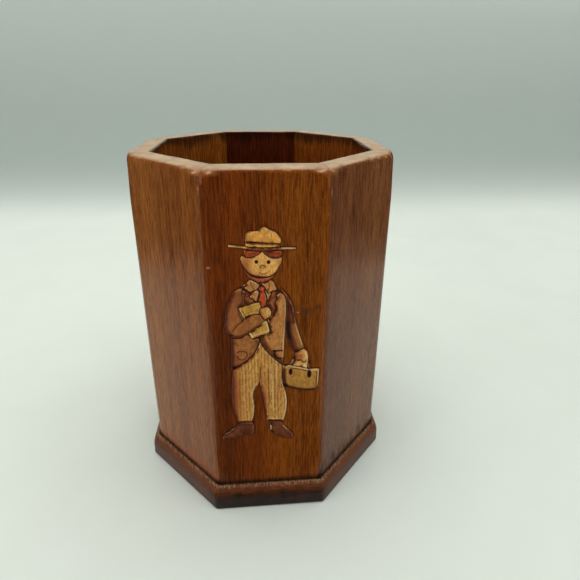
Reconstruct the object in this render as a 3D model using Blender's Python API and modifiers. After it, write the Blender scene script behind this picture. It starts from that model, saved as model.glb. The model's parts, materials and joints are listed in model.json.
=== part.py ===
"""Octagonal wooden pen cup on a moulded base, with a figure of thin wooden pieces on its front.

Eight mitred staves stand on a base plate and hold a floor panel in a rebate.  Four countersunk
screws join base and floor from below, and a felt pad covers the screws.  The figure is cut like
marquetry: every piece is sawn back from the pieces in front of it, so a thin gap outlines each.

Units are metres, +Z is up, the origin is the centre of the underside, and the front faces -Y.
"""

import math

import bmesh
import bpy
from mathutils import Matrix

MM = 0.001

# Driving dimensions.
HEIGHT = 102 * MM
SIDES = 8
BODY_FLATS = 73.2 * MM
WALL = 6.4 * MM
BASE_FLATS = 77.4 * MM
BASE_TOP = 7.7 * MM
GAP = 0.3 * MM
MERGE_DISTANCE = 0.01 * MM

# The cup's body.
HALF_SIDE_ANGLE = math.pi / SIDES
OUTER_APOTHEM = BODY_FLATS / 2
INNER_APOTHEM = OUTER_APOTHEM - WALL
CORNER_ROUND = 4 * MM
CORNER_STEPS = 4
RIM_ROUND = 1.1 * MM
RIM_STEPS = 3
FLATTEN_ANGLE = math.radians(0.5)
BODY_BOTTOM = BASE_TOP + GAP

# The floor panel, let into a rebate at the foot of the staves.
FLOOR_THICKNESS = 6 * MM
FLOOR_TOP = BODY_BOTTOM + FLOOR_THICKNESS
REBATE_DEPTH = 2.3 * MM
REBATE_APOTHEM = INNER_APOTHEM + REBATE_DEPTH
REBATE_TOP = FLOOR_TOP + GAP
FLOOR_APOTHEM = REBATE_APOTHEM - GAP

# The base plate: a square-edged foot, a rounded shoulder and a flat ledge around the body.
FELT_THICKNESS = 1 * MM
FELT_PROUD = 0.2 * MM
BASE_APOTHEM = BASE_FLATS / 2
BASE_SHOULDER_RUN = 1.6 * MM
BASE_SHOULDER_RISE = 3.4 * MM
BASE_SHOULDER_STEPS = 5
BASE_EDGE_ROUND = 0.6 * MM
BASE_EDGE_STEPS = 2
BASE_EDGE_ANGLE = math.radians(35)
FELT_APOTHEM = 34.5 * MM
RECESS_APOTHEM = FELT_APOTHEM + GAP
RECESS_ROOF = FELT_THICKNESS + GAP

# The wood screws.
SCREW_SPREAD = 15 * MM
SCREW_HEAD_RADIUS = 2.8 * MM
SCREW_HEAD_HEIGHT = 1.7 * MM
SCREW_SHANK_RADIUS = 1.4 * MM
SCREW_ROOT_RADIUS = 1.05 * MM
SCREW_LENGTH = 10.8 * MM
SCREW_POINT = 1.5 * MM
SCREW_HEAD_RIM = 0.3 * MM
SCREW_PITCH = 1.1 * MM
THREAD_SLOPE = 0.6
SCREW_THREADS = 5
SCREW_HEAD_BOTTOM = RECESS_ROOF + 0.1 * MM
SLOT_WIDTH = 0.8 * MM
SLOT_DEPTH = 0.7 * MM
SLOT_TURN = math.radians(35)
TURNED_STEPS = 16

# The figure's pieces, on the front face.
PIECE_THICKNESS = 0.9 * MM
CURVE_STEPS = 3
PLAN_WIDTH_SCALE = 0.987 * MM
PLAN_HEIGHT_SCALE = 0.994 * MM
PLAN_ACROSS = -0.21 * MM
PLAN_UP = 0.9 * MM
NEAR = 1.0

# Colours, as linear RGB, with roughness and metallic.
FINISHES = {
    "stained_wood": ((0.075, 0.022, 0.004), 0.32, 0.0),
    "floor_wood": ((0.060, 0.020, 0.006), 0.55, 0.0),
    "felt": ((0.020, 0.060, 0.030), 0.95, 0.0),
    "screw_steel": ((0.560, 0.520, 0.420), 0.35, 1.0),
    "straw": ((0.560, 0.340, 0.110), 0.40, 0.0),
    "handle": ((0.070, 0.020, 0.010), 0.40, 0.0),
    "hair": ((0.180, 0.025, 0.010), 0.40, 0.0),
    "skin": ((0.680, 0.430, 0.150), 0.40, 0.0),
    "shirt": ((0.700, 0.530, 0.230), 0.40, 0.0),
    "tie": ((0.370, 0.045, 0.015), 0.40, 0.0),
    "jacket": ((0.210, 0.095, 0.035), 0.40, 0.0),
    "book": ((0.520, 0.360, 0.040), 0.40, 0.0),
    "trousers": ((0.500, 0.290, 0.085), 0.40, 0.0),
    "shoe": ((0.075, 0.020, 0.012), 0.35, 0.0),
    "case": ((0.300, 0.170, 0.040), 0.40, 0.0),
}

CORNER = "corner"

# The figure's outlines on its plan, whose units are nearly millimetres: across, and up.
# Points run round each piece; those marked CORNER are sharp and the others are smooth.
# The list runs from the nearest piece to the furthest.
FIGURE = [
    ("hand_on_book", "skin", [
        (-1.5, 66.0), (-0.9, 66.5), (0.1, 66.7), (0.9, 66.0), (1.1, 64.6), (0.5, 63.5),
        (-0.5, 63.1, CORNER), (-1.2, 64.0), (-1.6, 64.9)]),
    ("sleeve_bent", "jacket", [
        (-5.5, 72.5, CORNER), (-8.0, 71.1), (-9.6, 68.3), (-10.6, 64.0), (-10.7, 60.6), (-10.0, 58.9),
        (-8.4, 58.0), (-6.6, 58.1), (-4.9, 59.2), (-2.4, 60.9), (-0.5, 63.0, CORNER), (-1.7, 64.4),
        (-3.2, 64.5), (-4.8, 63.9), (-5.9, 63.1, CORNER), (-7.5, 66.8, CORNER), (-5.6, 67.7, CORNER),
        (-5.6, 69.0, CORNER), (-5.4, 70.3, CORNER), (-6.4, 70.9, CORNER)]),
    ("book_top", "book", [
        (-7.2, 66.5, CORNER), (-1.8, 68.1, CORNER), (-1.0, 64.4, CORNER), (-5.9, 63.0, CORNER)]),
    ("book_bottom", "book", [
        (-4.6, 59.1, CORNER), (-3.9, 57.5, CORNER), (0.8, 59.2, CORNER), (0.0, 63.0, CORNER),
        (-2.0, 62.5, CORNER)]),
    ("hat_brim", "straw", [
        (-8.9, 83.6, CORNER), (-7.0, 83.4), (-5.2, 83.1), (-4.0, 82.8), (-0.7, 82.6), (2.0, 82.6),
        (3.9, 82.7), (7.3, 82.6, CORNER), (7.3, 82.2, CORNER), (3.9, 82.2), (2.0, 82.1), (-0.7, 82.1),
        (-4.0, 82.3), (-5.2, 82.7), (-7.0, 83.0), (-8.9, 83.2, CORNER)]),
    ("hat_band", "straw", [
        (-4.7, 82.6, CORNER), (-4.8, 84.1, CORNER), (3.4, 83.5, CORNER), (3.4, 82.4, CORNER)]),
    ("hat_crown", "straw", [
        (-4.8, 83.8, CORNER), (-4.8, 84.9), (-4.6, 86.3), (-4.1, 86.8), (-2.4, 86.8), (-1.6, 87.0),
        (-1.1, 87.6), (-0.5, 88.0), (0.3, 87.7), (0.9, 87.2), (2.0, 86.8), (3.0, 85.9), (3.65, 84.7),
        (3.4, 83.2, CORNER)]),
    ("hair_left", "hair", [
        (-0.9, 82.3, CORNER), (-1.4, 81.5), (-2.5, 80.8), (-3.8, 80.4), (-4.9, 80.7),
        (-5.3, 82.4, CORNER)]),
    ("hair_right", "hair", [
        (-0.6, 82.3, CORNER), (-0.1, 81.3), (0.9, 80.4), (2.2, 80.0), (3.5, 80.4), (4.1, 82.3, CORNER)]),
    ("face", "skin", [
        (-0.8, 75.1), (1.0, 75.3), (2.2, 76.2), (3.0, 77.6), (3.5, 78.5), (3.9, 79.6), (3.9, 80.6),
        (4.1, 82.1, CORNER), (-5.3, 82.4, CORNER), (-5.3, 80.8), (-6.0, 80.5), (-5.95, 79.3),
        (-5.4, 78.1), (-4.5, 76.6), (-2.9, 75.5)]),
    ("beard", "hair", [
        (-5.7, 78.3, CORNER), (-5.2, 76.8), (-4.5, 75.5), (-3.7, 74.6), (-2.7, 74.1), (-2.1, 73.6),
        (-1.5, 73.8), (-0.9, 73.5), (-0.1, 73.9), (0.8, 74.3), (1.6, 74.9), (2.4, 75.9, CORNER)]),
    ("tie", "tie", [
        (-1.8, 71.9, CORNER), (-1.2, 72.8, CORNER), (-0.5, 72.1, CORNER), (-0.6, 71.2, CORNER),
        (0.0, 69.4), (0.0, 68.4), (-0.3, 66.4, CORNER), (-1.2, 66.7, CORNER), (-1.9, 68.6), (-1.8, 69.8),
        (-1.5, 71.1, CORNER)]),
    ("collar_left", "shirt", [
        (-4.1, 74.4, CORNER), (-5.9, 72.6, CORNER), (-4.1, 71.0, CORNER), (-3.2, 71.4, CORNER),
        (-2.5, 71.6, CORNER), (-1.6, 72.8, CORNER), (-2.3, 73.8, CORNER)]),
    ("collar_right", "shirt", [
        (1.3, 74.4, CORNER), (2.0, 73.0), (2.7, 71.5, CORNER), (1.4, 71.1, CORNER), (0.5, 70.8, CORNER),
        (-0.4, 72.3, CORNER), (-1.0, 73.2, CORNER), (0.6, 73.8, CORNER)]),
    ("lapel_left", "jacket", [
        (-6.3, 72.3, CORNER), (-4.2, 71.1, CORNER), (-4.0, 70.4), (-4.6, 69.7, CORNER),
        (-3.1, 68.5, CORNER), (-2.7, 68.0, CORNER), (-4.6, 67.7, CORNER), (-5.5, 69.0),
        (-5.3, 70.0, CORNER), (-6.2, 70.9, CORNER)]),
    ("lapel_right", "jacket", [
        (2.8, 71.5, CORNER), (3.3, 70.6, CORNER), (2.2, 70.0, CORNER), (2.6, 69.0), (2.1, 67.8),
        (2.3, 66.4), (2.0, 64.8), (0.9, 63.4, CORNER), (1.0, 65.0), (0.8, 66.4), (0.2, 67.8, CORNER),
        (0.8, 69.0), (1.3, 70.0), (1.4, 71.1, CORNER)]),
    ("shirt_left", "shirt", [
        (-4.0, 71.4, CORNER), (-1.6, 72.3, CORNER), (-1.8, 70.4), (-2.1, 68.7, CORNER),
        (-2.9, 68.2, CORNER), (-3.6, 69.0), (-4.4, 69.6, CORNER), (-3.9, 70.3)]),
    ("shirt_right", "shirt", [
        (0.5, 71.4, CORNER), (1.4, 71.0, CORNER), (1.3, 69.8), (0.5, 68.6, CORNER), (0.1, 67.8, CORNER),
        (-0.1, 69.6), (-0.3, 71.6, CORNER)]),
    ("hand_with_case", "skin", [
        (7.6, 52.4, CORNER), (9.9, 53.8, CORNER), (10.8, 52.1), (10.9, 50.2), (10.7, 47.6, CORNER),
        (7.0, 48.6, CORNER), (7.6, 49.9), (7.6, 51.2)]),
    ("sleeve_hanging", "jacket", [
        (3.6, 71.7, CORNER), (5.2, 70.1), (6.6, 67.2), (7.3, 63.0), (8.1, 59.2), (9.9, 53.9, CORNER),
        (7.7, 52.4, CORNER), (6.2, 54.6), (5.3, 57.8), (5.0, 61.0), (5.2, 66.0), (5.0, 69.4, CORNER)]),
    ("jacket_right", "jacket", [
        (3.0, 71.6, CORNER), (4.8, 69.5, CORNER), (5.0, 66.0), (4.6, 60.0), (4.3, 54.0),
        (4.2, 49.1, CORNER), (2.8, 50.2), (0.6, 52.6), (-1.0, 55.2), (-1.7, 57.9, CORNER), (-1.0, 62.4),
        (0.8, 65.6), (2.4, 69.0, CORNER)]),
    ("jacket_left", "jacket", [
        (-9.3, 58.8, CORNER), (-9.5, 53.0), (-9.6, 48.0, CORNER), (-7.6, 49.1), (-5.0, 51.1),
        (-3.0, 53.9), (-2.1, 56.6), (-2.2, 58.8, CORNER)]),
    ("briefcase", "case", [
        (4.2, 48.6, CORNER), (5.9, 48.9), (7.1, 48.4), (10.5, 47.4), (14.0, 47.3, CORNER), (13.9, 44.2),
        (13.6, 40.5, CORNER), (11.6, 40.1), (9.3, 40.4), (6.8, 41.1), (4.5, 41.9, CORNER), (4.2, 44.6)]),
    ("handle_left", "handle", [
        (5.8, 48.5, CORNER), (6.8, 48.5, CORNER), (7.7, 50.5, CORNER), (7.4, 51.6, CORNER)]),
    ("handle_right", "handle", [
        (10.5, 47.2, CORNER), (11.4, 47.2, CORNER), (11.3, 49.2), (11.1, 50.5, CORNER), (10.6, 49.6)]),
    ("trousers", "trousers", [
        (-1.9, 57.6, CORNER), (-8.8, 51.4), (-9.3, 47.0), (-9.8, 42.0), (-9.7, 36.0), (-8.4, 30.6, CORNER),
        (-4.6, 30.2, CORNER), (-3.8, 34.5), (-4.0, 40.6), (-2.2, 43.6, CORNER), (-1.2, 38.0),
        (-0.5, 30.7, CORNER), (4.4, 30.1, CORNER), (5.2, 35.0), (4.9, 40.0), (3.9, 43.6), (3.9, 51.0),
        (-0.8, 57.4, CORNER)]),
    ("shoe_left", "shoe", [
        (-4.3, 30.4, CORNER), (-8.2, 30.6, CORNER), (-9.3, 28.4), (-11.0, 27.2), (-12.6, 25.8),
        (-12.9, 24.5, CORNER), (-8.6, 24.9), (-6.6, 25.9), (-5.0, 25.5), (-4.1, 26.2), (-4.2, 28.3)]),
    ("shoe_right", "shoe", [
        (0.5, 30.4, CORNER), (3.8, 30.3, CORNER), (4.4, 28.3), (5.6, 26.8), (6.9, 25.3), (6.9, 23.7),
        (5.3, 23.6), (3.0, 24.7), (1.0, 26.0), (0.5, 27.9)]),
]


def clear_scene():
    """Remove whatever the scene holds."""
    for item in list(bpy.data.objects):
        bpy.data.objects.remove(item, do_unlink=True)


def new_collection(name):
    """Make a collection in the scene."""
    collection = bpy.data.collections.new(name)
    bpy.context.scene.collection.children.link(collection)
    return collection


def make_finish(name):
    """Make the Principled material of one finish."""
    colour, roughness, metallic = FINISHES[name]
    material = bpy.data.materials.new(name)
    material.use_nodes = True
    shader = material.node_tree.nodes["Principled BSDF"]
    shader.inputs["Base Color"].default_value = (*colour, 1.0)
    shader.inputs["Roughness"].default_value = roughness
    shader.inputs["Metallic"].default_value = metallic
    material.diffuse_color = (*colour, 1.0)
    return material


def add_object(name, mesh, material=None):
    """Put a mesh in the cup's collection as one named piece."""
    piece = bpy.data.objects.new(name, mesh)
    CUP.objects.link(piece)
    if material is not None and not mesh.materials:
        mesh.materials.append(material)
    return piece


def as_cutter(cutter):
    """Hide an object that only cuts others, and keep it with the cutters."""
    for collection in list(cutter.users_collection):
        collection.objects.unlink(cutter)
    CUTTERS.objects.link(cutter)
    cutter.hide_render = True
    cutter.display_type = "WIRE"
    return cutter


def cut(piece, cutter):
    """Subtract a cutter from a piece."""
    modifier = piece.modifiers.new("cut_" + cutter.name, "BOOLEAN")
    modifier.operation = "DIFFERENCE"
    modifier.solver = "EXACT"
    modifier.object = cutter


def octagon_mesh(name, apothem, bottom, top):
    """An upright octagonal prism with flats facing the axes."""
    mesh = bpy.data.meshes.new(name)
    shape = bmesh.new()
    radius = apothem / math.cos(HALF_SIDE_ANGLE)
    bmesh.ops.create_cone(
        shape, cap_ends=True, segments=SIDES, radius1=radius, radius2=radius, depth=top - bottom)
    bmesh.ops.rotate(shape, verts=shape.verts, matrix=Matrix.Rotation(HALF_SIDE_ANGLE, 3, "Z"))
    bmesh.ops.translate(shape, verts=shape.verts, vec=(0, 0, (top + bottom) / 2))
    shape.to_mesh(mesh)
    shape.free()
    return mesh


def turned_object(name, profile, steps, start_angle=0.0):
    """Turn a profile of (radius, height) points, listed from its top to its bottom, about Z."""
    mesh = bpy.data.meshes.new(name)
    shape = bmesh.new()
    verts = [shape.verts.new((radius, 0, height)) for radius, height in profile]
    for upper, lower in zip(verts, verts[1:]):
        shape.edges.new((upper, lower))
    bmesh.ops.rotate(shape, verts=shape.verts, matrix=Matrix.Rotation(start_angle, 3, "Z"))
    shape.to_mesh(mesh)
    shape.free()
    piece = add_object(name, mesh)
    screw = piece.modifiers.new("turn", "SCREW")
    screw.steps = steps
    screw.render_steps = steps
    screw.use_merge_vertices = True
    screw.merge_threshold = MERGE_DISTANCE
    screw.use_smooth_shade = False
    return piece


def curve_to_mesh(curve_object):
    """Turn a filled curve into a closed mesh object of the same name and place."""
    bpy.context.view_layer.update()
    graph = bpy.context.evaluated_depsgraph_get()
    mesh = bpy.data.meshes.new_from_object(curve_object.evaluated_get(graph))
    shape = bmesh.new()
    shape.from_mesh(mesh)
    bmesh.ops.remove_doubles(shape, verts=shape.verts, dist=MERGE_DISTANCE)
    shape.to_mesh(mesh)
    shape.free()
    name = curve_object.name
    place = curve_object.matrix_world.copy()
    bpy.data.objects.remove(curve_object, do_unlink=True)
    piece = add_object(name, mesh)
    piece.matrix_world = place
    return piece


def stave_outline():
    """The stave's plan, outer side at -Y, as (x, y) points; its mitred sides keep half a glue gap."""
    glue = GAP / 2 / math.cos(HALF_SIDE_ANGLE)
    slope = math.tan(HALF_SIDE_ANGLE)
    inner = (INNER_APOTHEM * slope - glue, -INNER_APOTHEM)
    round_apothem = OUTER_APOTHEM - CORNER_ROUND
    right = [inner]
    for step in range(CORNER_STEPS + 1):
        angle = HALF_SIDE_ANGLE * (1 - step / CORNER_STEPS)
        across = round_apothem * slope + CORNER_ROUND * math.sin(angle) - glue
        out = round_apothem + CORNER_ROUND * math.cos(angle)
        right.append((across, -out))
    left = [(-across, out) for across, out in reversed(right)]
    return right + left


def make_stave_mesh():
    """One stave: its plan extruded to full height, with a rounded outer rim and a rebate at its foot."""
    curve = bpy.data.curves.new("stave_plan", "CURVE")
    curve.dimensions = "2D"
    curve.fill_mode = "BOTH"
    curve.extrude = (HEIGHT - BODY_BOTTOM) / 2
    outline = stave_outline()
    spline = curve.splines.new("POLY")
    spline.points.add(len(outline) - 1)
    for point, (across, out) in zip(spline.points, outline):
        point.co = (across, out, 0, 1)
    spline.use_cyclic_u = True
    plan = bpy.data.objects.new("stave_blank", curve)
    CUP.objects.link(plan)
    blank = curve_to_mesh(plan)
    blank.data.transform(Matrix.Translation((0, 0, (HEIGHT + BODY_BOTTOM) / 2)))

    shape = bmesh.new()
    shape.from_mesh(blank.data)
    bmesh.ops.dissolve_limit(shape, angle_limit=FLATTEN_ANGLE, verts=shape.verts, edges=shape.edges)
    weight = shape.edges.layers.float.new("bevel_weight_edge")
    middle = -(INNER_APOTHEM + OUTER_APOTHEM) / 2
    for edge in shape.edges:
        if all(vert.co.z > HEIGHT - MM and vert.co.y < middle for vert in edge.verts):
            edge[weight] = 1.0
    shape.to_mesh(blank.data)
    shape.free()

    bevel = blank.modifiers.new("rim_round", "BEVEL")
    bevel.limit_method = "WEIGHT"
    bevel.width = RIM_ROUND
    bevel.segments = RIM_STEPS
    rebate = octagon_mesh("rebate_cutter", REBATE_APOTHEM, BODY_BOTTOM - MM, REBATE_TOP)
    cut(blank, as_cutter(add_object("rebate_cutter", rebate)))
    bpy.context.view_layer.update()
    graph = bpy.context.evaluated_depsgraph_get()
    mesh = bpy.data.meshes.new_from_object(blank.evaluated_get(graph))
    mesh.name = "stave"
    bpy.data.objects.remove(blank, do_unlink=True)
    return mesh


def make_staves(material):
    """The eight staves, one for each side, from one shape."""
    names = (
        "stave_front", "stave_front_right", "stave_right", "stave_back_right",
        "stave_back", "stave_back_left", "stave_left", "stave_front_left")
    mesh = make_stave_mesh()
    for side, name in enumerate(names):
        stave = add_object(name, mesh, material)
        stave.rotation_euler.z = side * 2 * HALF_SIDE_ANGLE


def screw_places():
    """The four screws' centres."""
    return [(x, y) for x in (-SCREW_SPREAD, SCREW_SPREAD) for y in (-SCREW_SPREAD, SCREW_SPREAD)]


def screw_hole_cutter(name, place):
    """A countersunk clearance hole that runs through the base plate and into the floor panel."""
    head = SCREW_HEAD_RADIUS + GAP
    shank = SCREW_SHANK_RADIUS + GAP
    seat = SCREW_HEAD_BOTTOM + SCREW_HEAD_HEIGHT
    tip = SCREW_HEAD_BOTTOM + SCREW_LENGTH + GAP
    profile = [(0, tip), (shank, tip), (shank, seat + GAP), (head, SCREW_HEAD_BOTTOM + GAP),
               (head, RECESS_ROOF - MM), (0, RECESS_ROOF - MM)]
    cutter = as_cutter(turned_object(name, profile, TURNED_STEPS))
    cutter.location = (place[0], place[1], 0)
    return cutter


def make_base_and_floor(finishes):
    """The moulded base plate and the floor panel, drilled for the screws."""
    corner = 1 / math.cos(HALF_SIDE_ANGLE)
    profile = [(0, BASE_TOP)]
    for step in range(BASE_SHOULDER_STEPS + 1):
        angle = math.pi / 2 * step / BASE_SHOULDER_STEPS
        apothem = BASE_APOTHEM - BASE_SHOULDER_RUN * (1 - math.sin(angle))
        height = BASE_TOP - BASE_SHOULDER_RISE * (1 - math.cos(angle))
        profile.append((apothem * corner, height))
    profile += [(BASE_APOTHEM * corner, FELT_PROUD), (RECESS_APOTHEM * corner, FELT_PROUD),
                (RECESS_APOTHEM * corner, RECESS_ROOF), (0, RECESS_ROOF)]
    base = turned_object("base_plate", profile, SIDES, HALF_SIDE_ANGLE)
    base.data.materials.append(finishes["stained_wood"])
    bevel = base.modifiers.new("edge_round", "BEVEL")
    bevel.limit_method = "ANGLE"
    bevel.angle_limit = BASE_EDGE_ANGLE
    bevel.width = BASE_EDGE_ROUND
    bevel.segments = BASE_EDGE_STEPS

    floor_mesh = octagon_mesh("floor_panel", FLOOR_APOTHEM, BODY_BOTTOM, FLOOR_TOP)
    floor = add_object("floor_panel", floor_mesh, finishes["floor_wood"])
    for number, place in enumerate(screw_places(), start=1):
        cutter = screw_hole_cutter("screw_hole_%d" % number, place)
        cut(base, cutter)
        cut(floor, cutter)


def make_screws(material):
    """Four countersunk wood screws, heads down, with a slot across each head."""
    profile = [(0, SCREW_LENGTH)]
    thread_start = SCREW_LENGTH - SCREW_POINT
    for thread in range(SCREW_THREADS):
        crest = thread_start - thread * SCREW_PITCH
        profile += [(SCREW_SHANK_RADIUS, crest), (SCREW_ROOT_RADIUS, crest - SCREW_PITCH * THREAD_SLOPE)]
    profile += [(SCREW_ROOT_RADIUS, SCREW_HEAD_HEIGHT), (SCREW_HEAD_RADIUS, SCREW_HEAD_RIM),
                (SCREW_HEAD_RADIUS, 0), (0, 0)]
    slot_mesh = bpy.data.meshes.new("screw_slot")
    shape = bmesh.new()
    bmesh.ops.create_cube(shape, size=1.0)
    bmesh.ops.scale(shape, verts=shape.verts, vec=(SCREW_HEAD_RADIUS * 3, SLOT_WIDTH, SLOT_DEPTH * 2))
    shape.to_mesh(slot_mesh)
    shape.free()
    for number, (x, y) in enumerate(screw_places(), start=1):
        screw = turned_object("base_screw_%d" % number, profile, TURNED_STEPS)
        screw.data.materials.append(material)
        screw.location = (x, y, SCREW_HEAD_BOTTOM)
        slot = as_cutter(add_object("screw_slot_%d" % number, slot_mesh))
        slot.location = screw.location
        slot.rotation_euler.z = SLOT_TURN * number
        cut(screw, slot)


def make_felt(material):
    """The felt pad that the cup stands on, in the base plate's recess."""
    add_object("felt_pad", octagon_mesh("felt_pad", FELT_APOTHEM, 0, FELT_THICKNESS), material)


def figure_outline(name, points, grow, depth):
    """A flat closed outline on the front face, grown by a margin and given a thickness."""
    curve = bpy.data.curves.new(name, "CURVE")
    curve.dimensions = "2D"
    curve.fill_mode = "BOTH"
    curve.resolution_u = CURVE_STEPS
    curve.offset = grow
    curve.extrude = depth / 2
    spline = curve.splines.new("BEZIER")
    spline.bezier_points.add(len(points) - 1)
    for bezier, point in zip(spline.bezier_points, points):
        bezier.co = (point[0] * PLAN_WIDTH_SCALE + PLAN_ACROSS, point[1] * PLAN_HEIGHT_SCALE + PLAN_UP, 0)
        handle = "VECTOR" if point[-1] == CORNER else "AUTO"
        bezier.handle_left_type = handle
        bezier.handle_right_type = handle
    spline.use_cyclic_u = True
    outline = bpy.data.objects.new(name, curve)
    CUP.objects.link(outline)
    outline.rotation_euler.x = math.pi / 2
    outline.location.y = -(OUTER_APOTHEM + GAP + PIECE_THICKNESS / 2)
    return curve_to_mesh(outline)


def reach(points):
    """The box that an outline fills on the plan."""
    across = [point[0] for point in points]
    up = [point[1] for point in points]
    return min(across), max(across), min(up), max(up)


def meet(first, second):
    """Whether two outlines' boxes touch or nearly touch."""
    left_1, right_1, low_1, high_1 = reach(first)
    left_2, right_2, low_2, high_2 = reach(second)
    beside = left_1 < right_2 + NEAR and left_2 < right_1 + NEAR
    level = low_1 < high_2 + NEAR and low_2 < high_1 + NEAR
    return beside and level


def make_figure(finishes):
    """The figure's pieces, each sawn back from every piece in front of it."""
    nearer = []
    for name, finish, points in FIGURE:
        piece = figure_outline(name, points, 0, PIECE_THICKNESS)
        piece.data.materials.append(finishes[finish])
        for other_points, cutter in nearer:
            if meet(points, other_points):
                cut(piece, cutter)
        cutter = figure_outline("saw_" + name, points, GAP, 4 * PIECE_THICKNESS)
        nearer.append((points, as_cutter(cutter)))


clear_scene()
CUP = new_collection("pen_cup")
CUTTERS = new_collection("cutters")
ALL_FINISHES = {name: make_finish(name) for name in FINISHES}
make_staves(ALL_FINISHES["stained_wood"])
make_base_and_floor(ALL_FINISHES)
make_screws(ALL_FINISHES["screw_steel"])
make_felt(ALL_FINISHES["felt"])
make_figure(ALL_FINISHES)
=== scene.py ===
"""Looks of the octagonal wooden pen cup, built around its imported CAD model.

The staves, base plate, felt and figure are remade with finer meshes in the places that the CAD
model gives them; the floor panel and the screws stay as they are and get their own materials.
Lengths are metres, except on the figure's plan, in the tables and inside the materials, which count
in millimetres. +Z is up, and the front faces -Y.
"""

import json
import math

import bmesh
import bpy
import numpy as np
from mathutils import Matrix, Vector, noise
from mathutils.geometry import delaunay_2d_cdt

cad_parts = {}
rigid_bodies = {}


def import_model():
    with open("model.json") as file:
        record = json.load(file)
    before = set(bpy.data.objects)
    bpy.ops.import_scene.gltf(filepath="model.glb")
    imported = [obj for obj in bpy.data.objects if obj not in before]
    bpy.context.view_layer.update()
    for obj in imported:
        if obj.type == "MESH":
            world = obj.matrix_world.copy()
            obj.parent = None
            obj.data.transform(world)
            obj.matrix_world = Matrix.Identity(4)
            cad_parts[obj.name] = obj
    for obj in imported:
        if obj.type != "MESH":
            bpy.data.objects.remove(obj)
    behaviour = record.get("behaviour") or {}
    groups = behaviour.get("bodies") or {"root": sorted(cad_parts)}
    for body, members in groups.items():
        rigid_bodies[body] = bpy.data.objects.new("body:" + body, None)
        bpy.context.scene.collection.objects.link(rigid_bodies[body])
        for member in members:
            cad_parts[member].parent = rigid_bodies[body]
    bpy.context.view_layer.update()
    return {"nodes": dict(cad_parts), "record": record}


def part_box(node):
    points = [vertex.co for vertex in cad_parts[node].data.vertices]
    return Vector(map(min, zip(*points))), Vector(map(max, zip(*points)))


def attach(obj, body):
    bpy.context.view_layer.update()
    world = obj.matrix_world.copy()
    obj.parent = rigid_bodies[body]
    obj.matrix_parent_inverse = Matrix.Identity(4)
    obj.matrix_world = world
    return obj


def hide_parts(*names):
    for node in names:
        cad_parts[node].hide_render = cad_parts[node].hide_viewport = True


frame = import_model()

MM = 0.001
SIDES = 8
HALF_SIDE = math.pi / SIDES
SLOPE = math.tan(HALF_SIDE)

# Sizes that the CAD model gives.
STAVE_LOW, STAVE_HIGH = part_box("stave_front")
OUTER = -STAVE_LOW.y
INNER = -STAVE_HIGH.y
BODY_BOTTOM = STAVE_LOW.z
TOP = STAVE_HIGH.z
FLOOR_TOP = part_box("floor_panel")[1].z
FLOOR_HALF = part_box("floor_panel")[1].x
BASE_LOW, BASE_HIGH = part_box("base_plate")
BASE_HALF = BASE_HIGH.x
FELT_LOW, FELT_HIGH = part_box("felt_pad")
PIECE_FRONT = -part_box("face")[0].y

# Finer shape of the staves: how round their corners are at mid height, at the foot and at the rim.
CORNER_ROUND = 4.4 * MM
FOOT_ROUND = 5.8 * MM
HEAD_ROUND = 9.0 * MM
FOOT_BEND_TOP = 34 * MM
HEAD_BEND_BOTTOM = TOP - 14 * MM
HEAD_BEND_TOP = TOP - 1 * MM
GLUE_HALF = 0.02 * MM
FLOOR_GAP = 0.2 * MM

# The rim's outer rounding, across and down, and the radius of its inner one.
RIM_RUN = 1.5 * MM
RIM_RISE = 1.25 * MM
RIM_INNER = 0.6 * MM

# How far down the rim's wear reaches, and how fast it and a corner's wear fade.
RIM_WEAR_DOWN = 0.9 * MM
RIM_WEAR_FADE = 0.55 * MM
CORNER_WEAR_FADE = 1.5 * MM

# How finely each stave is meshed; the front three are finer, because the eye rests on them.
FINE_STEPS = {0: 0.25 * MM, 1: 0.5 * MM, 7: 0.6 * MM}
COARSE_STEP = 1.1 * MM

# The base plate's shoulder, across and down.
SHOULDER_RUN = 1.8 * MM
SHOULDER_RISE = 3.9 * MM

# The base plate's rounded lower edge, the gap round the felt, and the holes for the screws.
FOOT_RADIUS = 0.5 * MM
RECESS_GAP = 0.3 * MM
SCREW_PLAY = 0.3 * MM
SHANK_RADIUS = 1.7 * MM
SHANK_DEPTH = 12 * MM
SHANK_MIDDLE = 6.6 * MM
SINK_DEPTH = 2.2 * MM
SINK_MIDDLE = 0.7 * MM

# How far from the axis one face closes the base plate's flat top and the roof of its recess.
HUB = 20 * MM

# The figure's reliefs, in millimetres: spacing of points, thickness, rounded edge, swelling towards
# the middle, back face's distance from the stave, and how far a piece grows into the CAD model's gap.
GRAIN_MM = 0.2
RELIEF_MM = 0.30
RELIEF_ROUND_MM = 0.35
RELIEF_CROWN_MM = 0.16
RELIEF_BACK_MM = 0.015
GAP_FILL_MM = 0.05

# The line scored into the stave round the figure: how wide and how deep, in millimetres.
SCORE_MM = (0.10, 0.32)
SCORE_DEPTH_MM = 0.12
STRIPE_PITCH_MM = 0.86

# Scale that turns a material's coordinates into millimetres.
IN_MM = (1000, 1000, 1000)

# The figure's plan, on which its outlines are drawn, as the CAD model sets it on the front.
PLAN_SCALE = (0.987, 0.994)
PLAN_SHIFT = (-0.21, 0.9)


def srgb(red, green, blue):
    """Linear colour with alpha from 0-255 display values."""
    out = []
    for value in (red, green, blue):
        value /= 255
        out.append(value / 12.92 if value <= 0.04045 else ((value + 0.055) / 1.055) ** 2.4)
    return (*out, 1.0)


# ---------------------------------------------------------------- shader helper


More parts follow.
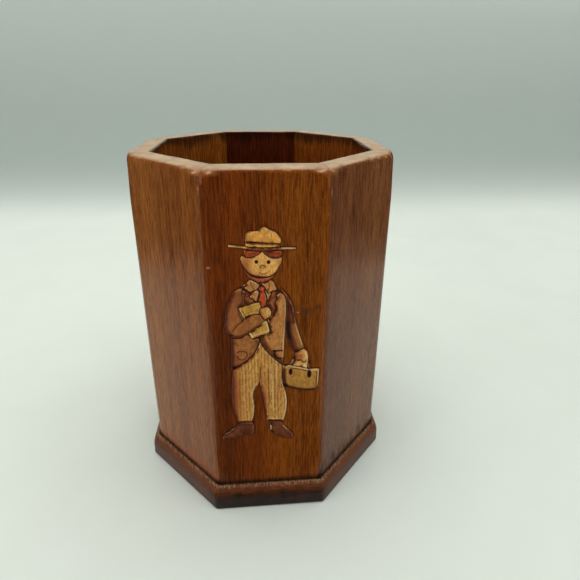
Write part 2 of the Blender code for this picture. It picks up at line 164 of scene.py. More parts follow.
class Nodes:
    """Adds and links the shader nodes of one material."""

    def __init__(self, name):
        self.material = bpy.data.materials.new(name)
        self.material.use_nodes = True
        self.tree = self.material.node_tree
        self.shader = self.tree.nodes["Principled BSDF"]

    def put(self, socket, value):
        """Link a socket, or set its value."""
        if isinstance(value, bpy.types.NodeSocket):
            self.tree.links.new(value, socket)
        else:
            socket.default_value = value

    def add(self, kind, inputs=None, **settings):
        """One node, with its settings and inputs."""
        node = self.tree.nodes.new("ShaderNode" + kind)
        for key, value in settings.items():
            setattr(node, key, value)
        for key, value in (inputs or {}).items():
            self.put(node.inputs[key], value)
        return node

    def surface(self, **values):
        """Set or link the Principled shader's sockets; underscores in names stand for spaces."""
        for key, value in values.items():
            self.put(self.shader.inputs[key.replace("_", " ")], value)

    def place(self, scale, offset=(0, 0, 0), turn=(0, 0, 0)):
        """Object coordinates, moved, turned and scaled."""
        source = self.add("TexCoord").outputs["Object"]
        mapping = self.add("Mapping", {
            "Vector": source, "Location": offset, "Rotation": turn, "Scale": scale})
        return mapping.outputs["Vector"]

    def noise(self, scale, offset=(0, 0, 0), turn=(0, 0, 0), detail=3.0, rough=0.55, distort=0.0):
        """A noise value from 0 to 1, on coordinates scaled, moved and turned as place does it."""
        node = self.add("TexNoise", {
            "Vector": self.place(scale, offset, turn), "Scale": 1.0, "Detail": detail,
            "Roughness": rough, "Distortion": distort})
        return node.outputs["Fac"]

    def between(self, value, low, high, to_low=0.0, to_high=1.0):
        """A value's smooth share of the way from low to high."""
        limits = {"From Min": low, "From Max": high, "To Min": to_low, "To Max": to_high}
        node = self.add("MapRange", {"Value": value, **limits}, interpolation_type="SMOOTHSTEP")
        return node.outputs["Result"]

    def math(self, operation, first, second=0.0):
        """A Math node's result."""
        node = self.add("Math", operation=operation)
        self.put(node.inputs[0], first)
        self.put(node.inputs[1], second)
        return node.outputs[0]

    def times(self, first, second):
        """Two values multiplied."""
        return self.math("MULTIPLY", first, second)

    def plus(self, first, second):
        """Two values added."""
        return self.math("ADD", first, second)

    def mix(self, share, first, second, blend="MIX"):
        """A colour mix."""
        node = self.add("Mix", data_type="RGBA", blend_type=blend)
        self.put(node.inputs["Factor"], share)
        self.put(node.inputs[6], first)
        self.put(node.inputs[7], second)
        return node.outputs[2]

    def tint(self, colour, other, mask, share=1.0):
        """A colour that turns to another where a mask says, up to a share."""
        return self.mix(self.times(mask, share), colour, other)

    def around(self, value, size):
        """A noise value as a swing about zero."""
        return self.times(self.math("SUBTRACT", value, 0.5), size)

    def split(self, vector):
        """A vector's X, Y and Z."""
        return self.add("SeparateXYZ", {"Vector": vector}).outputs

    def attribute(self, name):
        """A value stored on the mesh's points."""
        return self.add("Attribute", attribute_name=name).outputs["Fac"]

    def bump(self, height, distance, strength):
        """A bumped normal; distance is the height of the relief in metres."""
        inputs = {"Height": height, "Distance": distance, "Strength": strength}
        return self.add("Bump", inputs).outputs["Normal"]


# ---------------------------------------------------------------- mesh helpers


def add_object(name, data):
    """A new object in the scene."""
    item = bpy.data.objects.new(name, data)
    bpy.context.scene.collection.objects.link(item)
    return item


def closed_mesh(name, verts, faces):
    """A closed mesh with its faces turned outwards."""
    mesh = bpy.data.meshes.new(name)
    mesh.from_pydata(verts, [], faces)
    shape = bmesh.new()
    shape.from_mesh(mesh)
    bmesh.ops.recalc_face_normals(shape, faces=shape.faces)
    shape.to_mesh(mesh)
    shape.free()
    return mesh


def put_mesh(name, mesh, material, stands_for, turn=0.0):
    """Make a piece of a mesh, ride it on the cup's one body and hide the CAD nodes it stands for."""
    piece = add_object(name, mesh)
    piece.rotation_euler.z = turn
    mesh.materials.append(material)
    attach(piece, "root")
    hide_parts(*stands_for)
    return piece


def smooth(mesh, angle=35):
    """Shade a mesh smooth, with edges sharper than an angle kept crisp."""
    mesh.shade_smooth()
    mesh.set_sharp_from_angle(angle=math.radians(angle))


def store(mesh, name, values):
    """Store one number on each of a mesh's points, for its material to read."""
    layer = mesh.attributes.new(name, "FLOAT", "POINT")
    layer.data.foreach_set("value", np.asarray(values, np.float32).ravel())


def swept_mesh(name, grid):
    """Join a grid of points, [station, profile point, 3], whose profiles are closed loops."""
    stations, points = grid.shape[:2]
    faces = []
    for s in range(stations - 1):
        for p in range(points):
            q = (p + 1) % points
            faces.append([(s + i) * points + j for i, j in ((0, p), (0, q), (1, q), (1, p))])
    faces.append(list(reversed(range(points))))
    faces.append([(stations - 1) * points + p for p in range(points)])
    return closed_mesh(name, grid.reshape(-1, 3).tolist(), faces)


def ease(low, high, value):
    """Smoothstep for arrays."""
    share = np.clip((value - low) / (high - low), 0, 1)
    return share * share * (3 - 2 * share)


def drift(points, frequency, seed):
    """Smooth noise from about -1 to 1 at each point of an array, [..., 3]."""
    flat = points.reshape(-1, 3) * frequency + seed * 7.31
    return np.array([noise.noise(Vector(p)) for p in flat]).reshape(points.shape[:-1])


# ---------------------------------------------------------------- staves


def stave_stations(step):
    """Across one stave's outer side, from its left mitre to its right one.

    Each is (share of the flat part, share of the corner's turn), both signed.
    """
    flat_half = (OUTER - CORNER_ROUND) * SLOPE
    count = max(2, round(2 * flat_half / step))
    across = [(-1 + 2 * i / count, 0.0) for i in range(count + 1)]
    corner = [(1.0, i / 7) for i in range(1, 8)]
    return [(-flat, -turn) for flat, turn in reversed(corner)] + across + corner


def stave_profile(step):
    """Round one stave's section: (part, how far along that part), from the foot up, over and down.

    The parts are the outer side, the rim's outer rounding, its flat top and its inner arris, the
    inner side, and the rebate for the floor panel, whose two points are counted 0 and 1.
    """
    count = max(2, round((TOP - BODY_BOTTOM) / step))
    profile = [("outer", i / count) for i in range(count + 1)]
    for part, steps in (("round", 8), ("top", 7), ("arris", 5), ("inner", 24)):
        profile += [(part, i / steps) for i in range(1, steps + 1)]
    return profile + [("rebate", 0), ("rebate", 1)]


def section_point(part, along, run, rise, arris):
    """A point of a stave's section: share of the way from outer to inner side, and height."""
    wall = OUTER - INNER
    low = FLOOR_TOP + FLOOR_GAP
    angle = math.pi / 2 * along
    if part == "outer":
        return 0.0, BODY_BOTTOM + (TOP - rise - BODY_BOTTOM) * along
    if part == "round":
        return run * (1 - math.cos(angle)) / wall, TOP - rise * (1 - math.sin(angle))
    if part == "top":
        return (run + (wall - arris - run) * along) / wall, TOP
    if part == "arris":
        return 1 - arris / wall * (1 - math.sin(angle)), TOP - arris * (1 - math.cos(angle))
    if part == "inner":
        return 1.0, TOP - arris + (low - TOP + arris) * along
    return (OUTER - FLOOR_HALF - FLOOR_GAP) / wall, BODY_BOTTOM if along else low


def stave_grid(side, step):
    """The points of one stave, worn at its rim and corners, and how worn each point is."""
    stations = stave_stations(step)
    profile = stave_profile(step)
    half_inner = INNER * SLOPE - GLUE_HALF
    turned = np.array(Matrix.Rotation(side * 2 * HALF_SIDE, 3, "Z"))
    grid = np.zeros((len(stations), len(profile), 3))
    wear = np.zeros((len(stations), len(profile)))
    for s, (flat, turn) in enumerate(stations):
        mitre = abs(flat) * 0.75 + abs(turn) * 0.25
        around = Vector(turned @ np.array((flat * OUTER * SLOPE, -OUTER, 0.0)))
        wobble = noise.noise(around * 130 + Vector((3.1, 5.7, 1.3)))
        ripple = noise.noise(around * 430 + Vector((9.1, 2.7, 4.3)))
        inner_wear = 0.9 + 1.1 * noise.noise(around * 95 + Vector((1.7, 8.3, 2.2))) + 0.6 * ripple
        extra = 1 + 0.20 * wobble + 0.08 * ripple + 1.1 * ease(0.70, 1.0, mitre)
        arris = RIM_INNER * min(1.9, max(0.35, inner_wear))
        for p, (part, along) in enumerate(profile):
            share, height = section_point(part, along, RIM_RUN * extra, RIM_RISE * extra, arris)
            bend = CORNER_ROUND + (FOOT_ROUND - CORNER_ROUND) * ease(FOOT_BEND_TOP, BODY_BOTTOM, height)
            bend += (HEAD_ROUND - CORNER_ROUND) * ease(HEAD_BEND_BOTTOM, HEAD_BEND_TOP, height)
            x_out = (OUTER - bend) * SLOPE * flat + bend * math.sin(HALF_SIDE * turn)
            x_out -= GLUE_HALF * turn ** 3
            depth = bend * (1 - math.cos(HALF_SIDE * turn))
            x_in = half_inner * x_out / (OUTER * SLOPE - GLUE_HALF - bend * (SLOPE - math.sin(HALF_SIDE)))
            x = x_out + (x_in - x_out) * share
            y = OUTER - depth + (INNER - OUTER + depth) * share
            grid[s, p] = (x, -y, height)
            below = max(0.0, TOP - RIM_WEAR_DOWN - height)
            near_rim = math.exp(-below / RIM_WEAR_FADE) if share < 0.5 else 0.0
            edge = math.exp(-(1 - mitre) * OUTER * SLOPE / CORNER_WEAR_FADE) if share < 0.3 else 0.0
            wear[s, p] = max(near_rim * (0.30 + 0.15 * wobble), 0.22 * edge, near_rim * edge * 0.55)
            if share < 0.5:
                wear[s, p] = max(wear[s, p], bareness(side, x, height))
    return grid, wear


# Bare patches near the front corners' tops: (across, how far down, half width, half height), by side.
BARE_PATCHES = {
    0: [(-12.6, 0.9, 2.6, 0.9), (-14.6, 2.4, 0.5, 1.8), (12.8, 0.7, 2.6, 0.7), (14.6, 3.0, 0.35, 2.6),
        (14.7, 11.0, 0.3, 0.7)],
    1: [(-13.8, 0.9, 1.5, 0.9), (-14.6, 5.6, 0.3, 1.4), (13.4, 1.0, 1.0, 1.4), (9.5, 0.7, 1.8, 0.5),
        (5.6, 2.6, 0.6, 0.9)],
    7: [(13.6, 1.0, 2.2, 0.9), (14.6, 4.6, 0.35, 1.2)],
}


def bareness(side, x, height):
    """How bare the wood is at a point of a stave's outer side."""
    bare = 0.0
    for across, down, wide, tall in BARE_PATCHES.get(side, []):
        away = ((x / MM - across) / wide) ** 2 + (((TOP - height) / MM - down) / tall) ** 2
        bare = max(bare, 0.95 * math.exp(-away))
    return bare


def dent(grid, centre, radius, depth):
    """Press a soft round dent into a grid of points, towards the cup's axis and down."""
    away = np.linalg.norm(grid - np.array(centre), axis=2)
    share = np.exp(-(away / radius) ** 2)
    push = np.zeros_like(grid)
    push[..., 1] = 0.6
    push[..., 2] = -0.8
    grid += push * (share * depth)[..., None]


# Nicks along the rim: (across, radius, depth), by side.
RIM_NICKS = {
    0: [(12.2, 1.1, 0.35), (5.0, 0.8, 0.15)],
    1: [(2.5, 1.0, 0.40), (6.0, 0.7, 0.30)],
    2: [(4.0, 1.2, 0.30)],
    3: [(-6.0, 1.2, 0.35)],
    4: [(3.0, 1.4, 0.30)],
    5: [(7.0, 1.5, 0.40), (-3.0, 1.0, 0.30)],
    6: [(-5.0, 1.1, 0.30)],
    7: [(-9.0, 1.3, 0.22), (9.5, 0.9, 0.25)],
}

# Stains on the outer sides: (across, up, half width, half height, how dark), by side. Those below zero
# are pale scuffs.
STAINS = {
    0: [(9.2, 65.6, 2.2, 1.3, 0.34), (11.6, 66.2, 2.2, 1.2, 0.32), (13.2, 66.8, 1.2, 1.2, 0.28),
        (10.0, 64.2, 1.3, 1.0, 0.26), (7.7, 65.2, 0.34, 0.26, -1.1), (-14.0, 78.2, 0.7, 0.40, -0.52),
        (-2.4, 44.6, 0.20, 0.22, -0.9), (4.3, 43.4, 0.22, 0.22, -0.9)],
    1: [(1.0, 94.5, 0.22, 0.20, -0.7), (4.5, 86.0, 0.20, 0.22, -0.6), (-4.5, 70.0, 0.18, 0.20, -0.6),
        (2.6, 60.5, 0.20, 0.20, -0.6), (-1.0, 51.0, 0.18, 0.18, -0.6)],
    7: [(3.0, 30.0, 5.0, 1.2, 0.12), (-4.0, 58.0, 6.0, 2.5, 0.08), (2.0, 72.0, 8.0, 1.5, 0.10)],
}

# The stave with ticks of grime above the base, and how far up they reach.
GRIMY_SIDE = 1
GRIME_REACH = 9 * MM


def stain_grid(side, grid):
    """How stained or scuffed each point of a stave is."""
    stain = np.zeros(grid.shape[:2])
    outer = grid[..., 1] < -(OUTER - 3 * MM)
    for across, up, wide, tall, dark in STAINS.get(side, []):
        away = ((grid[..., 0] / MM - across) / wide) ** 2 + ((grid[..., 2] / MM - up) / tall) ** 2
        stain += np.where(outer, dark * np.exp(-away), 0.0)
    if side == GRIMY_SIDE:
        ticks = drift(grid * np.array((1.0, 1.0, 0.16)), 1050, 4) + 0.5 * drift(grid, 210, 9)
        reach = 1 - ease(BODY_BOTTOM, BODY_BOTTOM + GRIME_REACH, grid[..., 2])
        stain += np.where(outer, ease(0.16, 0.48, ticks + 0.30 * reach) * reach ** 0.6 * 0.85, 0.0)
    return stain


def make_staves(materials):
    """Eight staves, from the front one round to the right."""
    names = (
        "stave_front", "stave_front_right", "stave_right", "stave_back_right",
        "stave_back", "stave_back_left", "stave_left", "stave_front_left")
    for side, name in enumerate(names):
        grid, wear = stave_grid(side, FINE_STEPS.get(side, COARSE_STEP))
        for across, radius, depth in RIM_NICKS[side]:
            dent(grid, (across * MM, -OUTER + 0.5 * MM, TOP - 0.3 * MM), radius * MM, depth * MM)
        score = score_outline(grid) if side == 0 else np.zeros(grid.shape[:2])
        mesh = swept_mesh(name + "_wood", grid)
        smooth(mesh)
        store(mesh, "wear", wear)
        store(mesh, "score", score)
        store(mesh, "stain", stain_grid(side, grid))
        put_mesh(name + "_wood", mesh, materials[side], [name], side * 2 * HALF_SIDE)


# ---------------------------------------------------------------- figure


def follow_round(follow):
    """The closed loop of items in which each is followed by the one that the dictionary gives it."""
    loop = [next(iter(follow))]
    while follow[loop[-1]] != loop[0]:
        loop.append(follow[loop[-1]])
    return loop


def node_outline(name):
    """The outline of a CAD piece's front face, as points across and up in millimetres."""
    shape = bmesh.new()
    shape.from_mesh(frame["nodes"][name].data)
    bmesh.ops.remove_doubles(shape, verts=shape.verts, dist=0.002 * MM)
    shape.normal_update()
    caps = {face for face in shape.faces if face.normal.y < -0.9}
    follow = {}
    for face in caps:
        for loop in face.loops:
            if not any(other in caps for other in loop.edge.link_faces if other is not face):
                follow[loop.vert] = loop.link_loop_next.vert
    points = np.array([(vert.co.x / MM, vert.co.z / MM) for vert in follow_round(follow)])
    shape.free()
    return points


def resample(points, step, closed=True):
    """Points along a line with no stretch longer than a step."""
    out = []
    ends = np.roll(points, -1, axis=0) if closed else points[1:]
    for first, second in zip(points, ends):
        count = max(1, math.ceil(np.linalg.norm(second - first) / step))
        out += [first + (second - first) * i / count for i in range(count)]
    if not closed:
        out.append(points[-1])
    return np.array(out)


def distance_to(points, line, closed=True):
    """How far each point is from a line of points."""
    starts = line if closed else line[:-1]
    ends = np.roll(line, -1, axis=0) if closed else line[1:]
    best = np.full(len(points), 1e9)
    for first, second in zip(starts, ends):
        along = second - first
        length = max(float(along @ along), 1e-12)
        share = np.clip(((points - first) @ along) / length, 0, 1)
        gap = points - first - share[:, None] * along
        best = np.minimum(best, (gap ** 2).sum(1))
    return np.sqrt(best)


def inside(points, outline):
    """Which points lie inside an outline."""
    result = np.zeros(len(points), bool)
    for (x1, z1), (x2, z2) in zip(outline, np.roll(outline, -1, axis=0)):
        if z1 == z2:
            continue
        crosses = (points[:, 1] < z1) != (points[:, 1] < z2)
        at = x1 + (points[:, 1] - z1) * (x2 - x1) / (z2 - z1)
        result ^= crosses & (points[:, 0] < at)
    return result


def score_outline(grid):
    """Score a thin line into the front stave round the figure, and say how deep each point is in it."""
    corners = np.vstack(list(OUTLINES.values()))
    low, high = corners.min(0) - 1, corners.max(0) + 1
    flat = grid.reshape(-1, 3)
    plan = flat[:, (0, 2)] / MM
    front = (flat[:, 1] < -(OUTER - 0.6 * MM)) & (plan > low).all(1) & (plan < high).all(1)
    index = np.nonzero(front)[0]
    best = np.full(len(index), 1e9)
    for outline in OUTLINES.values():
        box_low, box_high = outline.min(0) - 1, outline.max(0) + 1
        near = np.nonzero(((plan[index] > box_low) & (plan[index] < box_high)).all(1))[0]
        away = distance_to(plan[index][near], outline)
        away[inside(plan[index][near], outline)] *= -1
        best[near] = np.minimum(best[near], away)
    share = 1 - ease(*SCORE_MM, best)
    flat[index, 1] += share * SCORE_DEPTH_MM * MM
    score = np.zeros(len(flat))
    score[index] = share
    return score


# What is carved and painted on each piece of the figure, on its plan. A line is (points, width, depth,
# ink), and ink below zero is pale. A spot is (x, z, half width, half height, height, ink, blush).
LINES = {
    "trousers": [
        ([(-2.2, 44.1), (-2.0, 46.1), (-1.9, 48.6)], 0.5, 0.1, 0.6),
        ([(-9.4, 47.6), (-9.5, 42.6), (-9.6, 36.6), (-9.0, 31.7)], 1.9, 0.05, 0.62),
        ([(-1.5, 43.1), (-1.1, 39.1), (-0.7, 35.6), (-0.4, 31.7)], 0.5, 0.03, 0.45),
        ([(0.2, 48.1), (0.3, 42.6), (0.6, 36.6)], 0.5, 0.05, 0.45),
        ([(1.6, 49.1), (1.9, 42.6), (2.0, 34.7)], 0.35, 0.04, 0.35),
        ([(2.9, 50.5), (3.3, 45.6), (3.1, 40.6)], 0.35, 0.04, 0.4),
        ([(2.6, 38.6), (2.9, 33.7)], 0.3, 0.04, 0.3),
        ([(-5.6, 48.1), (-5.9, 43.6)], 0.4, 0.03, 0.3),
        ([(-7.3, 47.1), (-7.5, 41.6), (-7.4, 36.6)], 0.5, 0.03, 0.35),
        ([(-6.6, 50.0), (-6.2, 44.6), (-6.6, 38.6)], 0.5, -0.02, -0.25),
        ([(-4.4, 52.5), (-4.6, 47.6), (-4.9, 42.6)], 0.5, -0.02, -0.2),
        ([(1.0, 49.6), (1.2, 42.6), (1.4, 34.7)], 0.5, -0.02, -0.35),
        ([(2.3, 49.6), (2.5, 42.6)], 0.45, -0.02, -0.3),
        ([(-4.3, 31.7), (-4.1, 36.1), (-4.3, 41.1), (-2.5, 44.2)], 0.4, 0.0, -0.45),
        ([(4.5, 40.1), (5.0, 37.6), (4.9, 34.7), (4.3, 31.3)], 0.5, 0.0, -0.5),
        ([(-0.1, 31.3), (4.0, 31.1)], 0.3, -0.04, -0.55),
        ([(-0.2, 30.8), (4.1, 30.6)], 0.22, 0.04, 0.4),
        ([(-8.0, 30.8), (-4.6, 30.7)], 0.22, 0.04, 0.35),
        ([(-8.0, 31.4), (-4.7, 31.2)], 0.3, 0.0, -0.3)],
    "jacket_left": [
        ([(-7.8, 53.5), (-7.2, 53.9), (-5.5, 53.5), (-5.4, 52.4), (-6.2, 51.3), (-7.4, 51.4), (-7.9, 52.4)],
         0.4, 0.08, 0.75),
        ([(-9.3, 58.1), (-9.4, 53.5), (-9.4, 48.8)], 1.8, 0.04, 0.75),
        ([(-9.0, 48.8), (-7.2, 49.5), (-4.8, 51.3), (-3.0, 53.7), (-2.2, 56.5)], 0.9, 0.05, 0.62),
        ([(-2.6, 58.3), (-3.2, 55.9), (-4.0, 54.3)], 0.7, 0.03, 0.35)],
    "jacket_right": [
        ([(1.7, 53.6), (3.9, 53.6)], 0.55, 0.08, 0.95),
        ([(2.0, 53.4), (2.0, 52.0), (3.0, 51.1), (3.9, 51.2)], 0.4, 0.06, 0.65),
        ([(-1.5, 58.1), (-0.8, 56.1), (0.6, 53.8), (2.2, 51.8), (4.0, 49.9)], 1.9, 0.06, 0.66),
        ([(1.0, 63.3), (0.7, 61.0), (1.0, 59.1), (0.1, 58.3)], 0.7, 0.05, 0.6),
        ([(4.9, 68.9), (4.9, 62.5), (4.4, 57.5), (4.2, 51.1)], 0.4, 0.0, -0.62)],
    "lapel_right": [
        ([(2.9, 71.2), (2.2, 70.0), (2.4, 68.8), (2.0, 67.6), (2.2, 66.0), (1.6, 64.5)], 0.55, 0.05, 0.75),
        ([(1.3, 70.6), (1.0, 69.2), (0.5, 68.0)], 0.5, 0.05, 0.7),
        ([(1.0, 66.6), (1.1, 65.0)], 0.4, 0.04, 0.5)],
    "lapel_left": [
        ([(-6.0, 72.0), (-4.6, 71.2), (-4.3, 70.4), (-4.9, 69.7)], 0.6, 0.05, 0.7),
        ([(-3.0, 68.2), (-4.6, 68.0), (-5.4, 68.8)], 0.5, 0.05, 0.75)],
    "sleeve_bent": [
        ([(-8.9, 60.0), (-7.6, 61.7), (-6.1, 63.0)], 0.45, 0.1, 0.65),
        ([(-8.2, 70.8), (-9.9, 67.6), (-10.6, 63.9), (-10.6, 60.7), (-9.6, 58.9)], 1.6, 0.05, 0.62),
        ([(-7.2, 66.2), (-6.9, 64.6), (-6.1, 63.1)], 0.7, 0.05, 0.6),
        ([(-6.2, 71.0), (-5.9, 69.0), (-6.6, 67.4)], 0.9, 0.05, 0.6),
        ([(-9.4, 58.8), (-7.4, 58.4), (-5.0, 59.5), (-2.6, 61.1)], 0.7, 0.06, 0.45),
        ([(-1.5, 64.4), (-0.8, 63.6)], 0.5, 0.05, 0.55)],
    "sleeve_hanging": [
        ([(7.3, 53.2), (8.5, 53.1), (9.7, 54.1)], 0.45, 0.06, 0.8),
        ([(5.4, 68.8), (5.6, 65.4), (5.5, 61.5), (5.7, 58.1), (6.6, 55.5), (7.4, 53.5)], 2.5, 0.05, 0.66),
        ([(5.2, 61.5), (5.2, 59.5), (5.7, 57.7)], 2.2, 0.03, 0.3),
        ([(6.3, 67.0), (6.8, 64.1), (6.9, 61.9)], 0.8, 0.0, 0.45),
        ([(7.4, 61.5), (8.2, 58.5), (9.2, 55.1)], 0.5, 0.0, -0.45),
        ([(5.0, 69.8), (6.2, 67.6), (6.8, 65.0)], 0.35, 0.0, -0.35)],
    "hat_brim": [
        ([(-8.9, 83.4), (-7.0, 83.2), (-5.4, 82.9)], 0.5, 0.0, -0.3),
        ([(3.9, 82.5), (7.2, 82.4)], 0.5, 0.0, -0.45),
        ([(-4.6, 82.5), (-2.0, 82.3), (0.7, 82.3), (3.4, 82.3)], 0.5, 0.03, 0.72)],
    "hat_band": [
        ([(-4.6, 84.0), (-2.0, 83.7), (0.5, 83.5), (3.2, 83.4)], 0.3, 0.04, 0.7)],
    "hat_crown": [
        ([(-4.6, 84.3), (-2.0, 83.9), (0.5, 83.6), (3.1, 83.5)], 0.42, 0.06, 0.85),
        ([(-1.4, 86.9), (-0.8, 86.4), (0.1, 86.5), (0.9, 87.0)], 0.35, 0.06, 0.3),
        ([(-2.8, 86.7), (-2.0, 86.2), (-1.2, 86.4)], 0.3, 0.05, 0.25)],
    "beard": [
        ([(-5.4, 77.4), (-4.7, 76.2), (-3.8, 75.2), (-2.4, 74.6), (-0.4, 74.5), (1.0, 75.0)],
         0.3, 0.04, -0.22),
        ([(-5.6, 78.0), (-5.0, 76.4), (-4.3, 75.3), (-3.5, 74.4), (-2.4, 73.9)], 0.28, 0.04, 0.45),
        ([(-2.2, 75.0), (-2.0, 74.2)], 0.25, 0.05, 0.5),
        ([(-0.6, 74.9), (-0.5, 74.1)], 0.25, 0.05, 0.5),
        ([(0.7, 75.2), (1.0, 74.6)], 0.25, 0.05, 0.4)],
    "hair_left": [
        ([(-1.3, 82.1), (-2.4, 81.7), (-3.8, 81.2), (-4.8, 81.1)], 0.28, 0.06, 0.6),
        ([(-1.6, 81.6), (-2.9, 81.1), (-4.4, 80.7)], 0.2, 0.06, 0.45),
        ([(-2.2, 82.1), (-3.6, 81.9)], 0.3, 0.03, 0.5)],
    "hair_right": [
        ([(-0.3, 82.0), (0.8, 81.6), (2.0, 81.2), (3.4, 81.2)], 0.3, 0.06, 0.62),
        ([(0.4, 81.2), (1.6, 80.5), (3.0, 80.5)], 0.2, 0.06, 0.5),
        ([(0.2, 82.1), (1.6, 81.9)], 0.45, 0.03, 0.75)],
    "face": [
        ([(-1.7, 76.3), (-1.2, 76.0), (-0.7, 75.9), (-0.2, 76.0), (0.2, 76.3)], 0.28, 0.04, 0.75),
        ([(-1.45, 77.6), (-1.3, 78.1), (-0.8, 78.3), (-0.35, 78.1), (-0.15, 77.7)], 0.34, 0.05, 0.8)],
    "hand_on_book": [
        ([(-0.6, 66.3), (-0.4, 65.0)], 0.22, 0.06, 0.4),
        ([(0.3, 66.3), (0.4, 65.2)], 0.22, 0.06, 0.4),
        ([(-1.4, 65.6), (-1.2, 64.3), (-0.6, 63.4)], 0.4, 0.04, 0.4)],
    "hand_with_case": [
        ([(8.1, 50.2), (8.9, 50.4), (9.6, 49.7), (10.3, 49.9)], 0.55, 0.07, 0.75),
        ([(7.9, 52.1), (7.8, 51.1), (8.3, 50.3)], 0.5, 0.05, 0.4),
        ([(8.9, 52.1), (9.2, 50.9)], 0.35, 0.05, 0.4),
        ([(10.2, 52.7), (10.5, 50.9)], 0.6, 0.0, -0.55),
        ([(9.9, 48.8), (10.4, 48.0)], 0.7, 0.0, -0.65),
        ([(7.5, 49.3), (9.2, 49.1)], 0.5, 0.0, -0.2)],
    "tie": [
        ([(-1.5, 71.1), (-0.6, 71.1)], 0.32, 0.08, 0.7)],
    "book_top": [
        ([(-6.8, 66.1), (-5.9, 63.8)], 0.32, 0.05, -0.9),
        ([(-6.3, 66.2), (-5.4, 64.0)], 0.2, 0.04, 0.8),
        ([(-5.3, 66.6), (-2.2, 67.4)], 0.22, 0.04, 0.5),
        ([(-4.9, 65.3), (-1.9, 66.0)], 0.22, 0.04, 0.45)],
    "book_bottom": [
        ([(-4.2, 58.9), (-3.8, 57.9)], 0.4, 0.05, -0.9),
        ([(-3.4, 58.5), (0.3, 59.8)], 0.4, 0.04, -0.5),
        ([(0.4, 59.8), (-0.2, 62.5)], 0.3, 0.04, -0.6)],
    "briefcase": [
        ([(6.8, 47.8), (9.0, 47.3), (10.7, 46.8)], 0.28, 0.08, 0.8),
        ([(6.8, 48.3), (9.0, 47.7), (10.6, 47.2)], 0.3, -0.04, -0.8),
        ([(4.8, 48.2), (5.8, 48.5)], 0.5, 0.0, -0.5),
        ([(11.9, 46.9), (13.9, 47.0)], 0.32, -0.04, -0.7),
        ([(13.35, 46.4), (13.3, 41.2)], 0.28, 0.06, 0.8),
        ([(13.75, 46.6), (13.6, 41.6)], 0.24, -0.02, -0.6),
        ([(4.5, 47.4), (4.5, 44.2), (4.8, 42.4)], 1.2, 0.03, 0.8),
        ([(4.9, 42.0), (6.9, 41.3), (9.3, 40.7), (11.6, 40.4), (13.6, 40.6)], 1.4, 0.03, 0.85)],
    "shoe_left": [
        ([(-12.6, 25.1), (-9.4, 25.5), (-7.4, 26.4), (-7.0, 25.9)], 0.24, 0.06, 0.6),
        ([(-10.2, 27.9), (-9.7, 28.3)], 0.35, 0.0, -0.7),
        ([(-12.3, 26.3), (-11.0, 27.0)], 0.25, 0.0, -0.35),
        ([(-8.2, 29.5), (-5.0, 29.3)], 0.9, 0.04, 0.45)],
    "shoe_right": [
        ([(1.2, 26.6), (3.4, 25.6), (5.4, 24.3), (6.5, 24.2)], 0.24, 0.06, 0.6),
        ([(0.7, 28.7), (0.75, 27.3)], 0.3, 0.0, -0.7),
        ([(4.2, 28.3), (5.2, 27.1)], 0.25, 0.0, -0.45),
        ([(1.3, 29.9), (1.2, 28.1)], 0.3, 0.05, 0.55),
        ([(4.9, 25.7), (6.3, 24.9)], 0.9, 0.0, 0.4)],
    "collar_left": [
        ([(-3.9, 73.7), (-3.5, 72.6), (-3.0, 71.5)], 0.28, 0.06, 0.65)],
    "collar_right": [
        ([(0.9, 73.5), (0.7, 72.3), (0.4, 71.1)], 0.28, 0.06, 0.65)],
}

